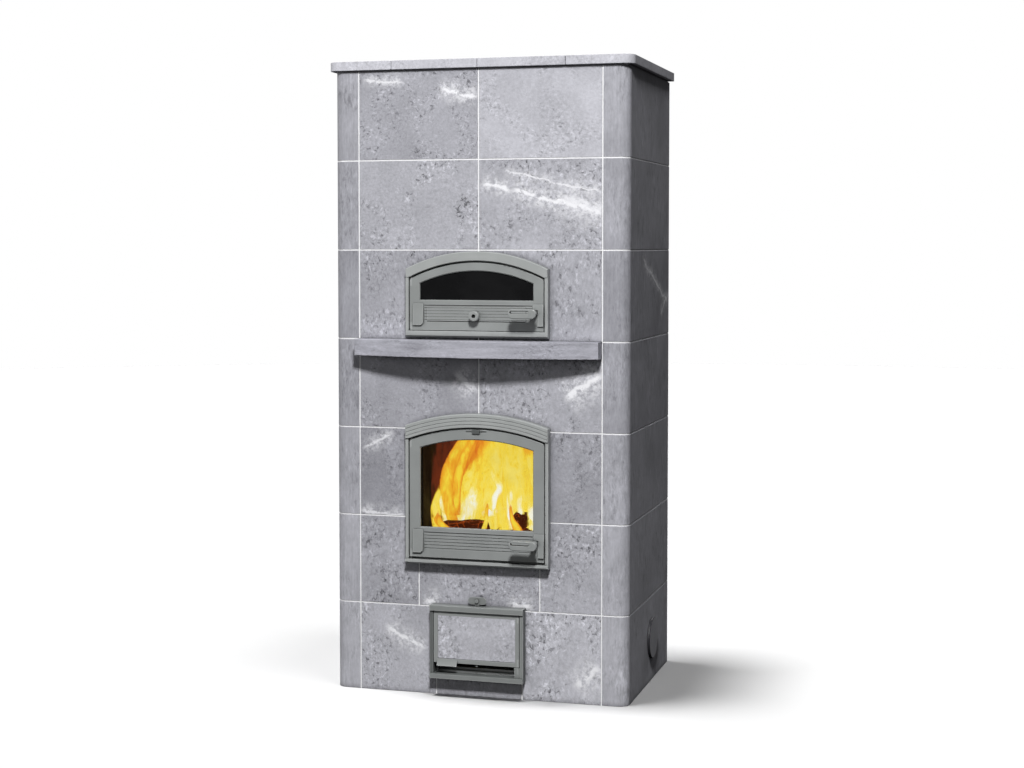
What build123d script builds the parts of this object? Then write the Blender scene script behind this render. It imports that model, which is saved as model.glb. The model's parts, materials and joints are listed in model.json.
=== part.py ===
"""Soapstone heat-storing stove with a bake oven, built from stone courses round a fired core.

Millimetres. +X is to the right seen from the front, the front wall faces -Y, and +Z is up. The
origin is the centre of the footprint on the floor.
"""
from build123d import *
import os
from dataclasses import dataclass
from math import sqrt

os.makedirs("parts", exist_ok=True)

# ---- Stone shell -------------------------------------------------------------------------------
body_width = 860
body_depth = 570
course_count = 7
course_height = 250
joint = 3                       # mortar joint between neighbouring stones
mortar_recess = 1               # how far the mortar lies behind the stone faces
front_thickness = 60
side_thickness = 73
back_thickness = 60
corner_radius = 30              # rounded front corners of the side slabs
centre_slab_width = 353         # middle stone of the second course
sill_stone_height = 54          # low stone under the ash door

# ---- Cover of flat slabs -----------------------------------------------------------------------
cover_thickness = 25
cover_overhang = 14
cover_corner_radius = 30
cover_slab_width = 253          # the two middle ones, the outer ones take up the rest
cover_joint = 1
bed_height = 3                  # recessed bed that leaves a shadow line under the cover
bed_inset = 5

# ---- Bench shelf between the doors -------------------------------------------------------------
shelf_end_gap = 2               # from the shelf's end to the side slab
shelf_thickness = 47.5
shelf_end_depth = 45
shelf_bow = 45                  # how much deeper the shelf is in the middle
shelf_edge_fillet = 2
dowel_radius = 8
dowel_depth = 35                # each way, into the wall and into the shelf
dowel_spacing = 150

# ---- Sweep covers low on both sides ------------------------------------------------------------
sweep_radius = 55
sweep_height = 126
sweep_setback = 40              # behind the middle of the side
sweep_lap = 5
sweep_cover_proud = 8
sweep_plug_length = 55
sweep_clearance = 2.5

# ---- Places of the arched doors ----------------------------------------------------------------
fire_door_rise = 123            # above the first course
oven_door_rise = 7              # above the shelf

# ---- What the cast doors share -----------------------------------------------------------------
flange_proud = 26               # all "proud" sizes are measured out from the stone face
leaf_proud = 25
leaf_thickness = 10
stile_width = 9.5
leaf_gap = 1.5
hood_gap = 4.2
hood_corner_radius = 4
flange_lap = 6                  # frame flange over the stone
collar_clearance = 2
collar_wall = 8
ledge_thickness = 8
gasket_inset = 7
gasket_width = 8
seal_room = 6                   # between the leaf's back and the sealing ledge
seal_gap = 0.3
ledge_inset = 17                # from the leaf's edge to the ledge's inner edge
leaf_corner_radius = 10
leaf_edge_fillet = 3
pin_radius = 3
pin_running_gap = 0.08
pin_seat_gap = 0.02
pin_length_in_leaf = 22
pin_length_in_frame = 11
hinge_inset = 5                 # pin axis from the leaf's edge and from its front
window_half_width = 165
glass_thickness = 4
glass_lap = 8
glass_clearance = 1
clip_width = 14
clip_height = 20
clip_thickness = 2
screw_radius = 3.5
screw_height = 1.8
boss_width = 29
boss_inset = 12                 # from the leaf's hinge edge to the boss
latch_boss_inset = 1            # from the leaf's free edge to the boss
boss_proud = 6                  # at its foot
boss_top_proud = 1.5
boss_corner = 5.5
reed_margin = 3                 # from a boss to the ends of the reed lines
groove_width = 2.4
groove_depth = 1.2
moulding_chamfer = 1.8
rail_bevel = 5                  # under the bottom rail
window_bevel = 2.5
window_rail = 13.5              # plain band under the window, above a deeper groove
window_groove_width = 3.5
window_groove_depth = 2

# ---- Loop handles and latches ------------------------------------------------------------------
latch_inset = 26                # handle axis from the leaf's right edge
spindle_radius = 5
spindle_running_gap = 0.06
root_radius = 8.5
loop_length = 80
loop_height = 27
loop_thickness = 13
loop_proud = 78                 # front of the loop
loop_overhang = 8.5             # of the loop past its root
loop_slot_margin = 20.5         # from the loop's right end to its slot
loop_slot_length = 54
loop_slot_height = 7
loop_slot_rise = 5
loop_fillet = 3
loop_slot_fillet = 1.5
pawl_reach = 22
pawl_width = 10
pawl_hub_radius = 7.5
pawl_thickness = 8
pawl_setback = 10               # from the ledge's front to the pawl's front
keeper_gap = 1
keeper_height = 16
keeper_depth = 17
root_recess_gap = 1

# ---- Air controls ------------------------------------------------------------------------------
knob_rise = 41                  # above the leaf's bottom
knob_radius = 14.5
knob_bore_radius = 5.5
knob_bore_depth = 9
knob_head_thickness = 13
knob_reach = 25                 # front of the knob ahead of the leaf
knob_stem_radius = 6
knob_spindle_radius = 4
knob_fillet = 3
shutter_radius = 14
shutter_thickness = 2
vent_hole_radius = 2.5
vent_circle_radius = 9.5
vent_hole_count = 4
slide_tab_width = 22
slide_tab_height = 13
slide_tab_thickness = 4
slide_travel = 15
tongue_width = 30
tongue_height = 4.4
tongue_depth = 2
slide_clearance = 0.3

# ---- Reeded panel of the oven door --------------------------------------------------------------
oven_panel_half_width = 143.5
oven_panel_rise = 26.5          # above the leaf's bottom
oven_panel_height = 40
oven_panel_proud = 1.5
oven_panel_groove = 3           # height of the groove under the panel
oven_panel_reed_depth = 0.8

# ---- Ash door ----------------------------------------------------------------------------------
ash_half_width = 137
ash_frame_bottom = 52
ash_frame_rise = 8              # frame above the first joint
ash_rail_height = 16
ash_sill_height = 14
ash_rail_proud = 31
ash_leaf_bottom = 97
ash_leaf_thickness = 12
ash_collar_wall = 5
ash_insert_margin = 12
ash_insert_depth = 8
ash_vent_setback = 25           # of the vent panel behind the stone face
ash_vent_panel_thickness = 4
ash_shelf_gap = 3                # from that panel's shelf to the leaf's back
ash_vent_slot_height = 10
ash_vent_slot_margin = 40
ash_catch_proud = 21             # end of the catch pin under the leaf
ash_tab_width = 58
ash_tab_height = 16
ash_tab_depth = 8
ash_tab_edge = 11
ash_bracket_width = 16
air_tab_width = 54
air_tab_height = 21
air_tab_thickness = 3
air_tab_gap = 5                 # above the frame
air_nub_radius = 5
air_nub_height = 5
air_neck_width = 12
air_foot_width = 44
air_foot_height = 7
air_travel = 20

# ---- Core of the stove -------------------------------------------------------------------------
core_half_width = 255
core_depth = 405
base_thickness = 56
ash_chamber_half_width = 128
ash_chamber_depth = 325
hearth_thickness = 53
hearth_rise = 20                # hearth above the bottom of the fire door
firebox_half_width = 185
lining_back_thickness = 62
grate_width = 176
grate_length = 256
grate_thickness = 25
grate_clearance = 2
grate_ledge = 10
grate_slot_width = 9
grate_slot_count = 8
grate_rim = 14
oven_half_width = 198
oven_floor_thickness = 86
oven_floor_depth = 285
oven_floor_rise = 20            # baking floor above the bottom of the oven door
oven_clear_height = 194
oven_roof_thickness = 60
oven_roof_setback = 75          # smoke gap at the front of the oven roof
top_slab_thickness = 65
upper_smoke_gap = 60
flue_radius = 75
flue_wall = 5
flue_height = 140
flue_collar_length = 80
flue_clearance = 0.3
pan_half_width = 105
pan_height = 60
pan_wall = 2
pan_setback = 6
pan_end_clearance = 19

# ---- Derived places ----------------------------------------------------------------------------
front = body_depth / 2
pitch = course_height + joint
body_height = course_count * course_height + (course_count - 1) * joint
side_inner = body_width / 2 - side_thickness
front_half_width = side_inner - joint
wall_back = front - front_thickness            # distance of the front slabs' backs from Y = 0
rear_inner = front - back_thickness
cover_bottom = body_height + bed_height
shelf_top = 4 * pitch
dowel_height = shelf_top - joint - shelf_thickness / 2
ledge_proud = leaf_proud - leaf_thickness - seal_room
core_back = core_depth - wall_back


@dataclass
class ArchedDoor:
    """One cast door under a segmental hood, centred on the front wall."""

    half_width: float       # outside of the frame
    bottom: float
    height: float           # to the crown of the hood
    arch_radius: float      # outside of the hood
    hood_band: float
    hood_proud: float
    rail_height: float      # bottom rail of the frame
    rail_gap: float         # between that rail and the leaf
    rail_proud: float
    window_rise: float      # bottom of the window above the leaf's bottom
    window_height: float    # at the middle
    boss_rise: float        # bosses above the leaf's bottom
    boss_height: float
    latch_rise: float       # handle axis above the leaf's bottom
    reed_rise: float        # lowest reed line above the leaf's bottom
    reed_count: int
    reed_pitch: float

    @property
    def crown(self):
        return self.bottom + self.height

    @property
    def arch_centre(self):
        return self.crown - self.arch_radius

    @property
    def leaf_half_width(self):
        return self.half_width - stile_width - leaf_gap

    @property
    def leaf_bottom(self):
        return self.bottom + self.rail_height + self.rail_gap

    @property
    def leaf_radius(self):
        return self.arch_radius - self.hood_band - hood_gap

    @property
    def window_bottom(self):
        return self.leaf_bottom + self.window_rise

    @property
    def window_radius(self):
        return self.window_bottom + self.window_height - self.arch_centre

    @property
    def hinge_x(self):
        return hinge_inset - self.leaf_half_width

    @property
    def latch_x(self):
        return self.leaf_half_width - latch_inset

    @property
    def latch_z(self):
        return self.leaf_bottom + self.latch_rise

    def arch_height(self, x, radius):
        """Height of an arc concentric with the hood at a distance x from the middle."""
        return self.arch_centre + sqrt(radius ** 2 - x ** 2)


fire_door = ArchedDoor(
    half_width=209,
    bottom=pitch + fire_door_rise,
    height=429.5,
    arch_radius=614,
    hood_band=39,
    hood_proud=30,
    rail_height=13,
    rail_gap=7,
    rail_proud=31,
    window_rise=86,
    window_height=250,
    boss_rise=13,
    boss_height=66,
    latch_rise=52,
    reed_rise=25,
    reed_count=5,
    reed_pitch=9,
)
oven_door = ArchedDoor(
    half_width=207,
    bottom=shelf_top + oven_door_rise,
    height=241,
    arch_radius=462,
    hood_band=26.5,
    hood_proud=28,
    rail_height=18,
    rail_gap=2,
    rail_proud=27,
    window_rise=85,
    window_height=81,
    boss_rise=14,
    boss_height=61,
    latch_rise=49.5,
    reed_rise=28.2,
    reed_count=5,
    reed_pitch=8.4,
)


def save(piece, name):
    """Label one finished piece and write it as its own file."""
    piece.part.label = name
    export_step(piece.part, f"parts/{name}.step")


def arched(half_width, bottom, centre, radius, corner=0):
    """Upright outline with straight jambs under an arc about (0, centre), its top corners rounded."""
    spring = centre + sqrt(radius ** 2 - half_width ** 2)
    with BuildSketch() as outline:
        with BuildLine():
            Polyline(
                (half_width, spring),
                (half_width, bottom),
                (-half_width, bottom),
                (-half_width, spring),
            )
            ThreePointArc((-half_width, spring), (0, centre + radius), (half_width, spring))
        make_face()
        if corner > 0:
            fillet(outline.vertices().group_by(Axis.Y)[-1], corner)
    return outline.sketch


def door_outline(door, side=0, base=0, top=0, corner=0):
    """Outline of a door frame drawn in by its own amount at the sides, the base and the arch."""
    return arched(
        door.half_width - side,
        door.bottom + base,
        door.arch_centre,
        door.arch_radius - top,
        corner,
    )


def leaf_outline(door, inset=0, corner=0):
    """Outline of a door leaf, drawn in evenly."""
    return arched(
        door.leaf_half_width - inset,
        door.leaf_bottom + inset,
        door.arch_centre,
        door.leaf_radius - inset,
        corner,
    )


def window_outline(door, grow=0):
    """Outline of a door's window, grown evenly."""
    return arched(
        window_half_width + grow,
        door.window_bottom - grow,
        door.arch_centre,
        door.window_radius + grow,
    )


def box_outline(x_low, x_high, low, high):
    """Rectangle given by its edges."""
    with BuildSketch() as outline:
        with Locations(((x_low + x_high) / 2, (low + high) / 2)):
            Rectangle(x_high - x_low, high - low)
    return outline.sketch


def facing(proud):
    """Plane parallel to the front wall, this far out from the stone face."""
    return Plane.XZ.offset(front + proud)


# ---- Wall openings that the door frames are set in ---------------------------------------------
ash_opening_half = ash_half_width - flange_lap - joint
with BuildPart() as wall_openings:
    with BuildSketch(facing(1)):
        for door in (fire_door, oven_door):
            add(door_outline(door, flange_lap, flange_lap, flange_lap))
        add(box_outline(-ash_opening_half, ash_opening_half, sill_stone_height, pitch))
    extrude(amount=-front_thickness - 2)

dowel_places = [side * dowel_spacing * step for side in (-1, 1) for step in (0.6, 1.6)]
with BuildPart() as dowel_holes:
    with BuildSketch(facing(dowel_depth)):
        with Locations(*[(x, dowel_height) for x in dowel_places]):
            Circle(dowel_radius)
    extrude(amount=-2 * dowel_depth)


# ---- Front slabs -------------------------------------------------------------------------------
def cut_front_stone(x_low, x_high, low, high):
    """One front stone, cut round the door openings and drilled for the shelf's dowels."""
    with BuildPart() as stone:
        with BuildSketch(facing(0)):
            add(box_outline(x_low, x_high, low, high))
        extrude(amount=-front_thickness)
        add(wall_openings.part, mode=Mode.SUBTRACT)
        add(dowel_holes.part, mode=Mode.SUBTRACT)
    return stone


half_joint = joint / 2
ash_side = ash_opening_half
centre_half = centre_slab_width / 2
course_splits = {
    1: {"left": (-front_half_width, -ash_side), "right": (ash_side, front_half_width)},
    2: {
        "left": (-front_half_width, -centre_half - joint),
        "centre": (-centre_half, centre_half),
        "right": (centre_half + joint, front_half_width),
    },
    3: {"left": (-front_half_width, -half_joint), "right": (half_joint, front_half_width)},
    4: {"left": (-front_half_width, -half_joint), "right": (half_joint, front_half_width)},
    5: {"left": (-front_half_width, -half_joint), "right": (half_joint, front_half_width)},
}
for course, stones in course_splits.items():
    low = (course - 1) * pitch
    for place, (x_low, x_high) in stones.items():
        front_stone = cut_front_stone(x_low, x_high, low, low + course_height)
        save(front_stone, f"front_slab_{course}_{place}")

sill_half = ash_side - joint
sill_stone = cut_front_stone(-sill_half, sill_half, 0, sill_stone_height)
save(sill_stone, "front_slab_1_sill")

with BuildPart() as front_slabs_top:
    for course in (6, 7):
        low = (course - 1) * pitch
        with BuildSketch(facing(0)):
            add(box_outline(-front_half_width, -half_joint, low, low + course_height))
            add(box_outline(half_joint, front_half_width, low, low + course_height))
        extrude(amount=-front_thickness)
save(front_slabs_top, "front_slabs_top")


# ---- Side slabs, whose front ends show as rounded corner strips --------------------------------
def side_outline(side):
    """Plan of a side slab, side being -1 or 1."""
    with BuildSketch() as plan:
        add(box_outline(side_inner, body_width / 2, -front, front))
        outer_corner = plan.vertices().group_by(Axis.Y)[0].sort_by(Axis.X)[-1]
        fillet(outer_corner, corner_radius)
        if side < 0:
            mirror(about=Plane.YZ, mode=Mode.REPLACE)
    return plan.sketch


for side, place in ((-1, "left"), (1, "right")):
    with BuildPart() as side_slabs:
        for course in range(1, course_count):
            with BuildSketch(Plane.XY.offset(course * pitch)):
                add(side_outline(side))
            extrude(amount=course_height)
    save(side_slabs, f"side_slabs_{place}")

    with BuildPart() as side_slab_base:
        with BuildSketch():
            add(side_outline(side))
        extrude(amount=course_height)
        with BuildSketch(Plane.YZ.offset(side * side_inner)):
            with Locations((sweep_setback, sweep_height)):
                Circle(sweep_radius)
        extrude(amount=side * side_thickness, mode=Mode.SUBTRACT)
    save(side_slab_base, f"side_slab_base_{place}")

    face = side * body_width / 2
    with BuildPart() as sweep_cover:
        with BuildSketch(Plane.YZ.offset(face + side * seal_gap)):
            with Locations((sweep_setback, sweep_height)):
                Circle(sweep_radius + sweep_lap)
        extrude(amount=side * (sweep_cover_proud - seal_gap))
        rim = sweep_cover.faces().sort_by(Axis.X)[-1 if side > 0 else 0].edges()
        chamfer(rim, moulding_chamfer)
        with BuildSketch(Plane.YZ.offset(face + side * seal_gap)):
            with Locations((sweep_setback, sweep_height)):
                Circle(sweep_radius - sweep_clearance)
        extrude(amount=-side * sweep_plug_length)
    save(sweep_cover, f"sweep_cover_{place}")

# ---- Back slabs --------------------------------------------------------------------------------
with BuildPart() as back_slabs:
    for course in range(course_count):
        with BuildSketch(Plane.XZ.offset(-front)):
            low = course * pitch
            add(box_outline(-front_half_width, front_half_width, low, low + course_height))
            if course == 0:
                with Locations((0, flue_height)):
                    Circle(flue_radius + flue_wall + flue_clearance, mode=Mode.SUBTRACT)
        extrude(amount=back_thickness)
save(back_slabs, "back_slabs")

with BuildPart() as flue_collar:
    with BuildSketch(Plane.XZ.offset(-front)):
        with Locations((0, flue_height)):
            Circle(flue_radius + flue_wall)
            Circle(flue_radius, mode=Mode.SUBTRACT)
    extrude(amount=flue_collar_length)
save(flue_collar, "flue_collar")

# ---- Mortar: a ring in every bed joint and a strip in every upright joint ----------------------
upright_joints = [
    (0, 2 * pitch, body_height),
    (-centre_half - half_joint, pitch, 2 * pitch),
    (centre_half + half_joint, pitch, 2 * pitch),
    (-sill_half - half_joint, 0, sill_stone_height),
    (sill_half + half_joint, 0, sill_stone_height),
]
corner_joint = side_inner - half_joint
with BuildPart() as joint_mortar:
    for course in range(1, course_count):
        with BuildSketch(Plane.XY.offset(course * pitch - joint)):
            add(box_outline(-body_width / 2, body_width / 2, -front, front))
            fillet(vertices().group_by(Axis.Y)[0], corner_radius)
            offset(amount=-mortar_recess)
            add(box_outline(-side_inner, side_inner, -wall_back, rear_inner), mode=Mode.SUBTRACT)
        extrude(amount=joint)
    with BuildSketch(facing(-mortar_recess)):
        for x, low, high in upright_joints:
            add(box_outline(x - half_joint, x + half_joint, low, high))
        for x in (-corner_joint, corner_joint):
            add(box_outline(x - half_joint, x + half_joint, 0, body_height))
    extrude(amount=mortar_recess - front_thickness)
    with BuildSketch(Plane.XZ.offset(mortar_recess - front)):
        for x in (-corner_joint, corner_joint):
            add(box_outline(x - half_joint, x + half_joint, 0, body_height))
    extrude(amount=back_thickness - mortar_recess)
    add(wall_openings.part, mode=Mode.SUBTRACT)
save(joint_mortar, "joint_mortar")

# ---- Cover slabs -------------------------------------------------------------------------------
cover_half = body_width / 2 + cover_overhang
bed_half = body_width / 2 - bed_inset
cover_gap = cover_joint / 2
cover_spans = [
    (-cover_half, -cover_slab_width - cover_gap),
    (cover_gap - cover_slab_width, -cover_gap),
    (cover_gap, cover_slab_width - cover_gap),
    (cover_slab_width + cover_gap, cover_half),
]
for number, (x_low, x_high) in enumerate(cover_spans):
    with BuildPart() as cover_slab:
        with BuildSketch(Plane.XY.offset(cover_bottom)):
            add(box_outline(x_low, x_high, -front - cover_overhang, front))
            if x_low == -cover_half:
                fillet(vertices().group_by(Axis.Y)[0].sort_by(Axis.X)[0], cover_corner_radius)
            if x_high == cover_half:
                fillet(vertices().group_by(Axis.Y)[0].sort_by(Axis.X)[-1], cover_corner_radius)
        extrude(amount=cover_thickness)
        with BuildSketch(Plane.XY.offset(cover_bottom)):
            add(box_outline(max(x_low, -bed_half), min(x_high, bed_half), bed_inset - front, front))
        extrude(amount=-bed_height)
    save(cover_slab, f"cover_slab_{number + 1}")

# ---- Shelf -------------------------------------------------------------------------------------
shelf_half = side_inner - shelf_end_gap
with BuildPart() as shelf:
    with BuildSketch(Plane.XY.offset(shelf_top - shelf_thickness)):
        with BuildLine():
            Polyline(
                (-shelf_half, -front - shelf_end_depth),
                (-shelf_half, -front),
                (shelf_half, -front),
                (shelf_half, -front - shelf_end_depth),
            )
            ThreePointArc(
                (shelf_half, -front - shelf_end_depth),
                (0, -front - shelf_end_depth - shelf_bow),
                (-shelf_half, -front - shelf_end_depth),
            )
        make_face()
    extrude(amount=shelf_thickness)
    fillet(shelf.faces().sort_by(Axis.Y)[0].edges(), shelf_edge_fillet)
    add(dowel_holes.part, mode=Mode.SUBTRACT)
save(shelf, "shelf")

with BuildPart() as shelf_dowels:
    with BuildSketch(facing(dowel_depth)):
        with Locations(*[(x, dowel_height) for x in dowel_places]):
            Circle(dowel_radius)
    extrude(amount=-2 * dowel_depth)
save(shelf_dowels, "shelf_dowels")


# ---- Arched doors ------------------------------------------------------------------------------
def hood_arc(door, radius):
    """Area under an arc of the hood, a little wider than the door."""
    return arched(door.half_width + 1, door.arch_centre, door.arch_centre, radius)


def make_frame(door, groove_count):
    """Cast frame: flange, hood, bottom rail, collar through the wall, sealing ledge and keeper."""
    opening_half = door.half_width - stile_width
    with BuildPart() as frame:
        with BuildSketch(facing(0)):
            add(door_outline(door, corner=hood_corner_radius))
            add(door_outline(door, stile_width, door.rail_height, door.hood_band), mode=Mode.SUBTRACT)
        extrude(amount=flange_proud)
        # hood: the band above the leaf stands further out
        with BuildSketch(facing(flange_proud)):
            hood_foot = door.arch_height(opening_half, door.arch_radius - door.hood_band)
            add(
                arched(
                    door.half_width,
                    hood_foot,
                    door.arch_centre,
                    door.arch_radius,
                    hood_corner_radius,
                )
            )
            below_hood = arched(
                opening_half,
                door.bottom,
                door.arch_centre,
                door.arch_radius - door.hood_band,
            )
            add(below_hood, mode=Mode.SUBTRACT)
        extrude(amount=door.hood_proud - flange_proud)
        chamfer(frame.faces().sort_by(Axis.Y)[0].outer_wire().edges(), moulding_chamfer)
        # fine grooves that follow the hood
        groove_step = door.hood_band / (groove_count + 1)
        for number in range(groove_count):
            radius = door.arch_radius - (number + 1) * groove_step
            with BuildSketch(facing(door.hood_proud)):
                add(hood_arc(door, radius + groove_width / 2))
                add(hood_arc(door, radius - groove_width / 2), mode=Mode.SUBTRACT)
            extrude(amount=-groove_depth, mode=Mode.SUBTRACT)
        # bottom rail
        with BuildSketch(facing(flange_proud)):
            add(box_outline(-door.half_width, door.half_width, door.bottom, door.bottom + door.rail_height))
        extrude(amount=door.rail_proud - flange_proud)
        chamfer(frame.faces().sort_by(Axis.Z)[0].edges().sort_by(Axis.Y)[0], rail_bevel)
        # eased inner edges of the stiles, which let the leaf swing past
        for stile_x in (-opening_half, opening_half):
            upright = frame.edges().filter_by(Axis.Z)
            inner_edges = upright.filter_by_position(Axis.X, stile_x - 0.1, stile_x + 0.1)
            chamfer(inner_edges.sort_by(Axis.Y)[0], moulding_chamfer)
        # collar through the wall and the ledge that the gasket closes on
        collar_inset = flange_lap + collar_clearance
        with BuildSketch(facing(ledge_proud)):
            add(door_outline(door, collar_inset, collar_inset, collar_inset))
            add(leaf_outline(door, ledge_inset), mode=Mode.SUBTRACT)
        extrude(amount=-front_thickness - ledge_proud)
        with BuildSketch(facing(-front_thickness)):
            inner = collar_inset + collar_wall
            add(door_outline(door, inner, inner, inner))
        extrude(amount=front_thickness + ledge_proud - ledge_thickness, mode=Mode.SUBTRACT)
        # keeper behind the ledge, beside the pawl
        keeper_left = door.latch_x + pawl_width / 2 + keeper_gap
        with BuildSketch(facing(ledge_proud - ledge_thickness)):
            keeper_right = door.half_width - collar_inset
            keeper_top = door.latch_z - pawl_hub_radius - keeper_gap
            add(box_outline(keeper_left, keeper_right, keeper_top - keeper_height, keeper_top))
        extrude(amount=-keeper_depth)
        # seats for the two hinge pins
        add(pin_tools(door, pin_radius + pin_seat_gap), mode=Mode.SUBTRACT)
    return frame


def pin_spans(door):
    """Bottom and top heights of a door's lower and upper hinge pins."""
    leaf_top = door.arch_height(door.hinge_x, door.leaf_radius)
    hood_foot = door.arch_height(door.hinge_x, door.arch_radius - door.hood_band)
    rail_top = door.bottom + door.rail_height
    return (
        (rail_top - pin_length_in_frame, door.leaf_bottom + pin_length_in_leaf),
        (leaf_top - pin_length_in_leaf, hood_foot + pin_length_in_frame),
    )


def pin_tools(door, radius):
    """Upright cylinders on a door's hinge axis, for its pins or for their bores."""
    with BuildPart() as pins:
        for low, high in pin_spans(door):
            with BuildSketch(Plane.XY.offset(low)):
                with Locations((door.hinge_x, hinge_inset - front - leaf_proud)):
                    Circle(radius)
            extrude(amount=high - low)
    return pins.part


def make_leaf(door):
    """Cast leaf: window with a glass rebate, reed lines, hinge boss and latch boss."""
    leaf_face = -front - leaf_proud
    boss_low = door.leaf_bottom + door.boss_rise
    boss_high = boss_low + door.boss_height
    hinge_boss_left = boss_inset - door.leaf_half_width
    latch_boss_left = door.leaf_half_width - latch_boss_inset - boss_width
    with BuildPart() as leaf:
        with BuildSketch(facing(leaf_proud - leaf_thickness)):
            add(leaf_outline(door, corner=leaf_corner_radius))
            add(window_outline(door), mode=Mode.SUBTRACT)
        extrude(amount=leaf_thickness)
        front_edges = leaf.faces().sort_by(Axis.Y)[0].outer_wire().edges()
        fillet(front_edges.filter_by(Axis.Z).sort_by(Axis.X)[0], leaf_edge_fillet)
        chamfer(leaf.faces().sort_by(Axis.Y)[0].inner_wires()[0].edges(), window_bevel)
        # rebate for the glass
        with BuildSketch(facing(leaf_proud - leaf_thickness)):
            add(window_outline(door, glass_lap + glass_clearance))
        extrude(amount=glass_thickness, mode=Mode.SUBTRACT)
        # hinge boss on the left, latch boss on the right
        with BuildSketch(facing(leaf_proud)) as boss_plan:
            for low_x in (hinge_boss_left, latch_boss_left):
                add(box_outline(low_x, low_x + boss_width, boss_low, boss_high))
            inner_corners = boss_plan.vertices().group_by(Axis.Y)[0].sort_by(Axis.X)[1:3]
            chamfer(inner_corners, boss_corner)
        extrude(amount=boss_proud)
        # the bosses thin out towards their tops
        with BuildSketch(Plane.YZ):
            with BuildLine():
                Polyline(
                    (leaf_face - boss_proud, boss_low),
                    (leaf_face - boss_top_proud, boss_high),
                    (leaf_face - boss_proud, boss_high),
                    close=True,
                )
            make_face()
        extrude(amount=door.half_width, both=True, mode=Mode.SUBTRACT)
        # recess in the latch boss for the root of the handle
        recess_right = door.latch_x + root_radius + root_recess_gap
        recess_top = door.latch_z + root_radius + root_recess_gap
        with BuildSketch(facing(leaf_proud)):
            add(box_outline(latch_boss_left, recess_right, boss_low, recess_top))
        extrude(amount=boss_proud, mode=Mode.SUBTRACT)
        # reed lines between the bosses, under a deeper groove
        reed_start = hinge_boss_left + boss_width + reed_margin
        reed_end = latch_boss_left - reed_margin
        with BuildSketch(facing(leaf_proud)):
            for number in range(door.reed_count):
                height = door.leaf_bottom + door.reed_rise + number * door.reed_pitch
                add(box_outline(reed_start, reed_end, height, height + groove_width))
        extrude(amount=-groove_depth, mode=Mode.SUBTRACT)
        groove_top = door.window_bottom - window_rail
        with BuildSketch(facing(leaf_proud)):
            add(box_outline(reed_start, reed_end, groove_top - window_groove_width, groove_top))
        extrude(amount=-window_groove_depth, mode=Mode.SUBTRACT)
        # bores for the hinge pins and the handle's spindle
        add(pin_tools(door, pin_radius + pin_running_gap), mode=Mode.SUBTRACT)
        with BuildSketch(facing(leaf_proud)):
            with Locations((door.latch_x, door.latch_z)):
                Circle(spindle_radius + spindle_running_gap)
        extrude(amount=-leaf_thickness, mode=Mode.SUBTRACT)
    return leaf


def make_glass(door):
    """Heat-proof pane in the leaf's rebate."""
    with BuildPart() as glass:
        with BuildSketch(facing(leaf_proud - leaf_thickness)):
            add(window_outline(door, glass_lap))
        extrude(amount=glass_thickness)
    return glass


def make_gasket(door):
    """Flattened sealing rope round the back of the leaf."""
    with BuildPart() as gasket:
        with BuildSketch(facing(ledge_proud + seal_gap)):
            add(leaf_outline(door, gasket_inset))
            add(leaf_outline(door, gasket_inset + gasket_width), mode=Mode.SUBTRACT)
        extrude(amount=seal_room - seal_gap)
    return gasket


def make_clips(door):
    """Four clips with their screws that hold the pane from behind."""
    clip_x = window_half_width + glass_clearance + clip_width / 2
    low = door.window_bottom + clip_height / 2
    high = door.arch_height(window_half_width, door.window_radius) - clip_height / 2
    places = [(side * clip_x, height) for side in (-1, 1) for height in (low, high)]
    with BuildPart() as clips:
        with BuildSketch(facing(leaf_proud - leaf_thickness)):
            with Locations(*places):
                Rectangle(clip_width, clip_height)
        extrude(amount=-clip_thickness)
        with BuildSketch(facing(leaf_proud - leaf_thickness - clip_thickness)):
            with Locations(*places):
                Circle(screw_radius)
        extrude(amount=-screw_height)
    return clips


def make_handle(door):
    """Loop handle with its root and the spindle that passes through the leaf."""
    loop_back = loop_proud - loop_thickness
    pawl_front = ledge_proud - pawl_setback
    loop_right = door.latch_x + root_radius + loop_overhang
    with BuildPart() as handle:
        with BuildSketch(facing(loop_back)):
            with Locations((loop_right - loop_length / 2, door.latch_z)):
                SlotOverall(loop_length, loop_height)
        extrude(amount=loop_thickness)
        fillet(handle.faces().sort_by(Axis.Y)[0].edges(), loop_fillet)
        fillet(handle.faces().sort_by(Axis.Y)[-1].edges(), loop_fillet)
        slot_middle = loop_right - loop_slot_margin - loop_slot_length / 2
        with BuildSketch(facing(loop_back)):
            with Locations((slot_middle, door.latch_z + loop_slot_rise)):
                SlotOverall(loop_slot_length, loop_slot_height)
        extrude(amount=loop_thickness, mode=Mode.SUBTRACT)
        slot_edges = handle.faces().sort_by(Axis.Y)[0].inner_wires()[0].edges()
        fillet(slot_edges, loop_slot_fillet)
        with BuildSketch(facing(leaf_proud + seal_gap)):
            with Locations((door.latch_x, door.latch_z)):
                Circle(root_radius)
        extrude(amount=loop_back - leaf_proud - seal_gap)
        with BuildSketch(facing(leaf_proud + seal_gap)):
            with Locations((door.latch_x, door.latch_z)):
                Circle(spindle_radius)
        extrude(amount=pawl_front - pawl_thickness - leaf_proud - seal_gap)
    return handle


def make_pawl(door):
    """Latch pawl that hangs from the spindle behind the leaf."""
    with BuildPart() as pawl:
        with BuildSketch(facing(ledge_proud - pawl_setback)):
            with Locations((door.latch_x, door.latch_z)):
                Circle(pawl_hub_radius)
            with Locations((door.latch_x, door.latch_z - pawl_reach / 2)):
                Rectangle(pawl_width, pawl_reach)
            with Locations((door.latch_x, door.latch_z)):
                Circle(spindle_radius + pin_seat_gap, mode=Mode.SUBTRACT)
        extrude(amount=-pawl_thickness)
    return pawl


save(make_frame(fire_door, 3), "fire_door_frame")
save(make_frame(oven_door, 0), "oven_door_frame")

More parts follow.
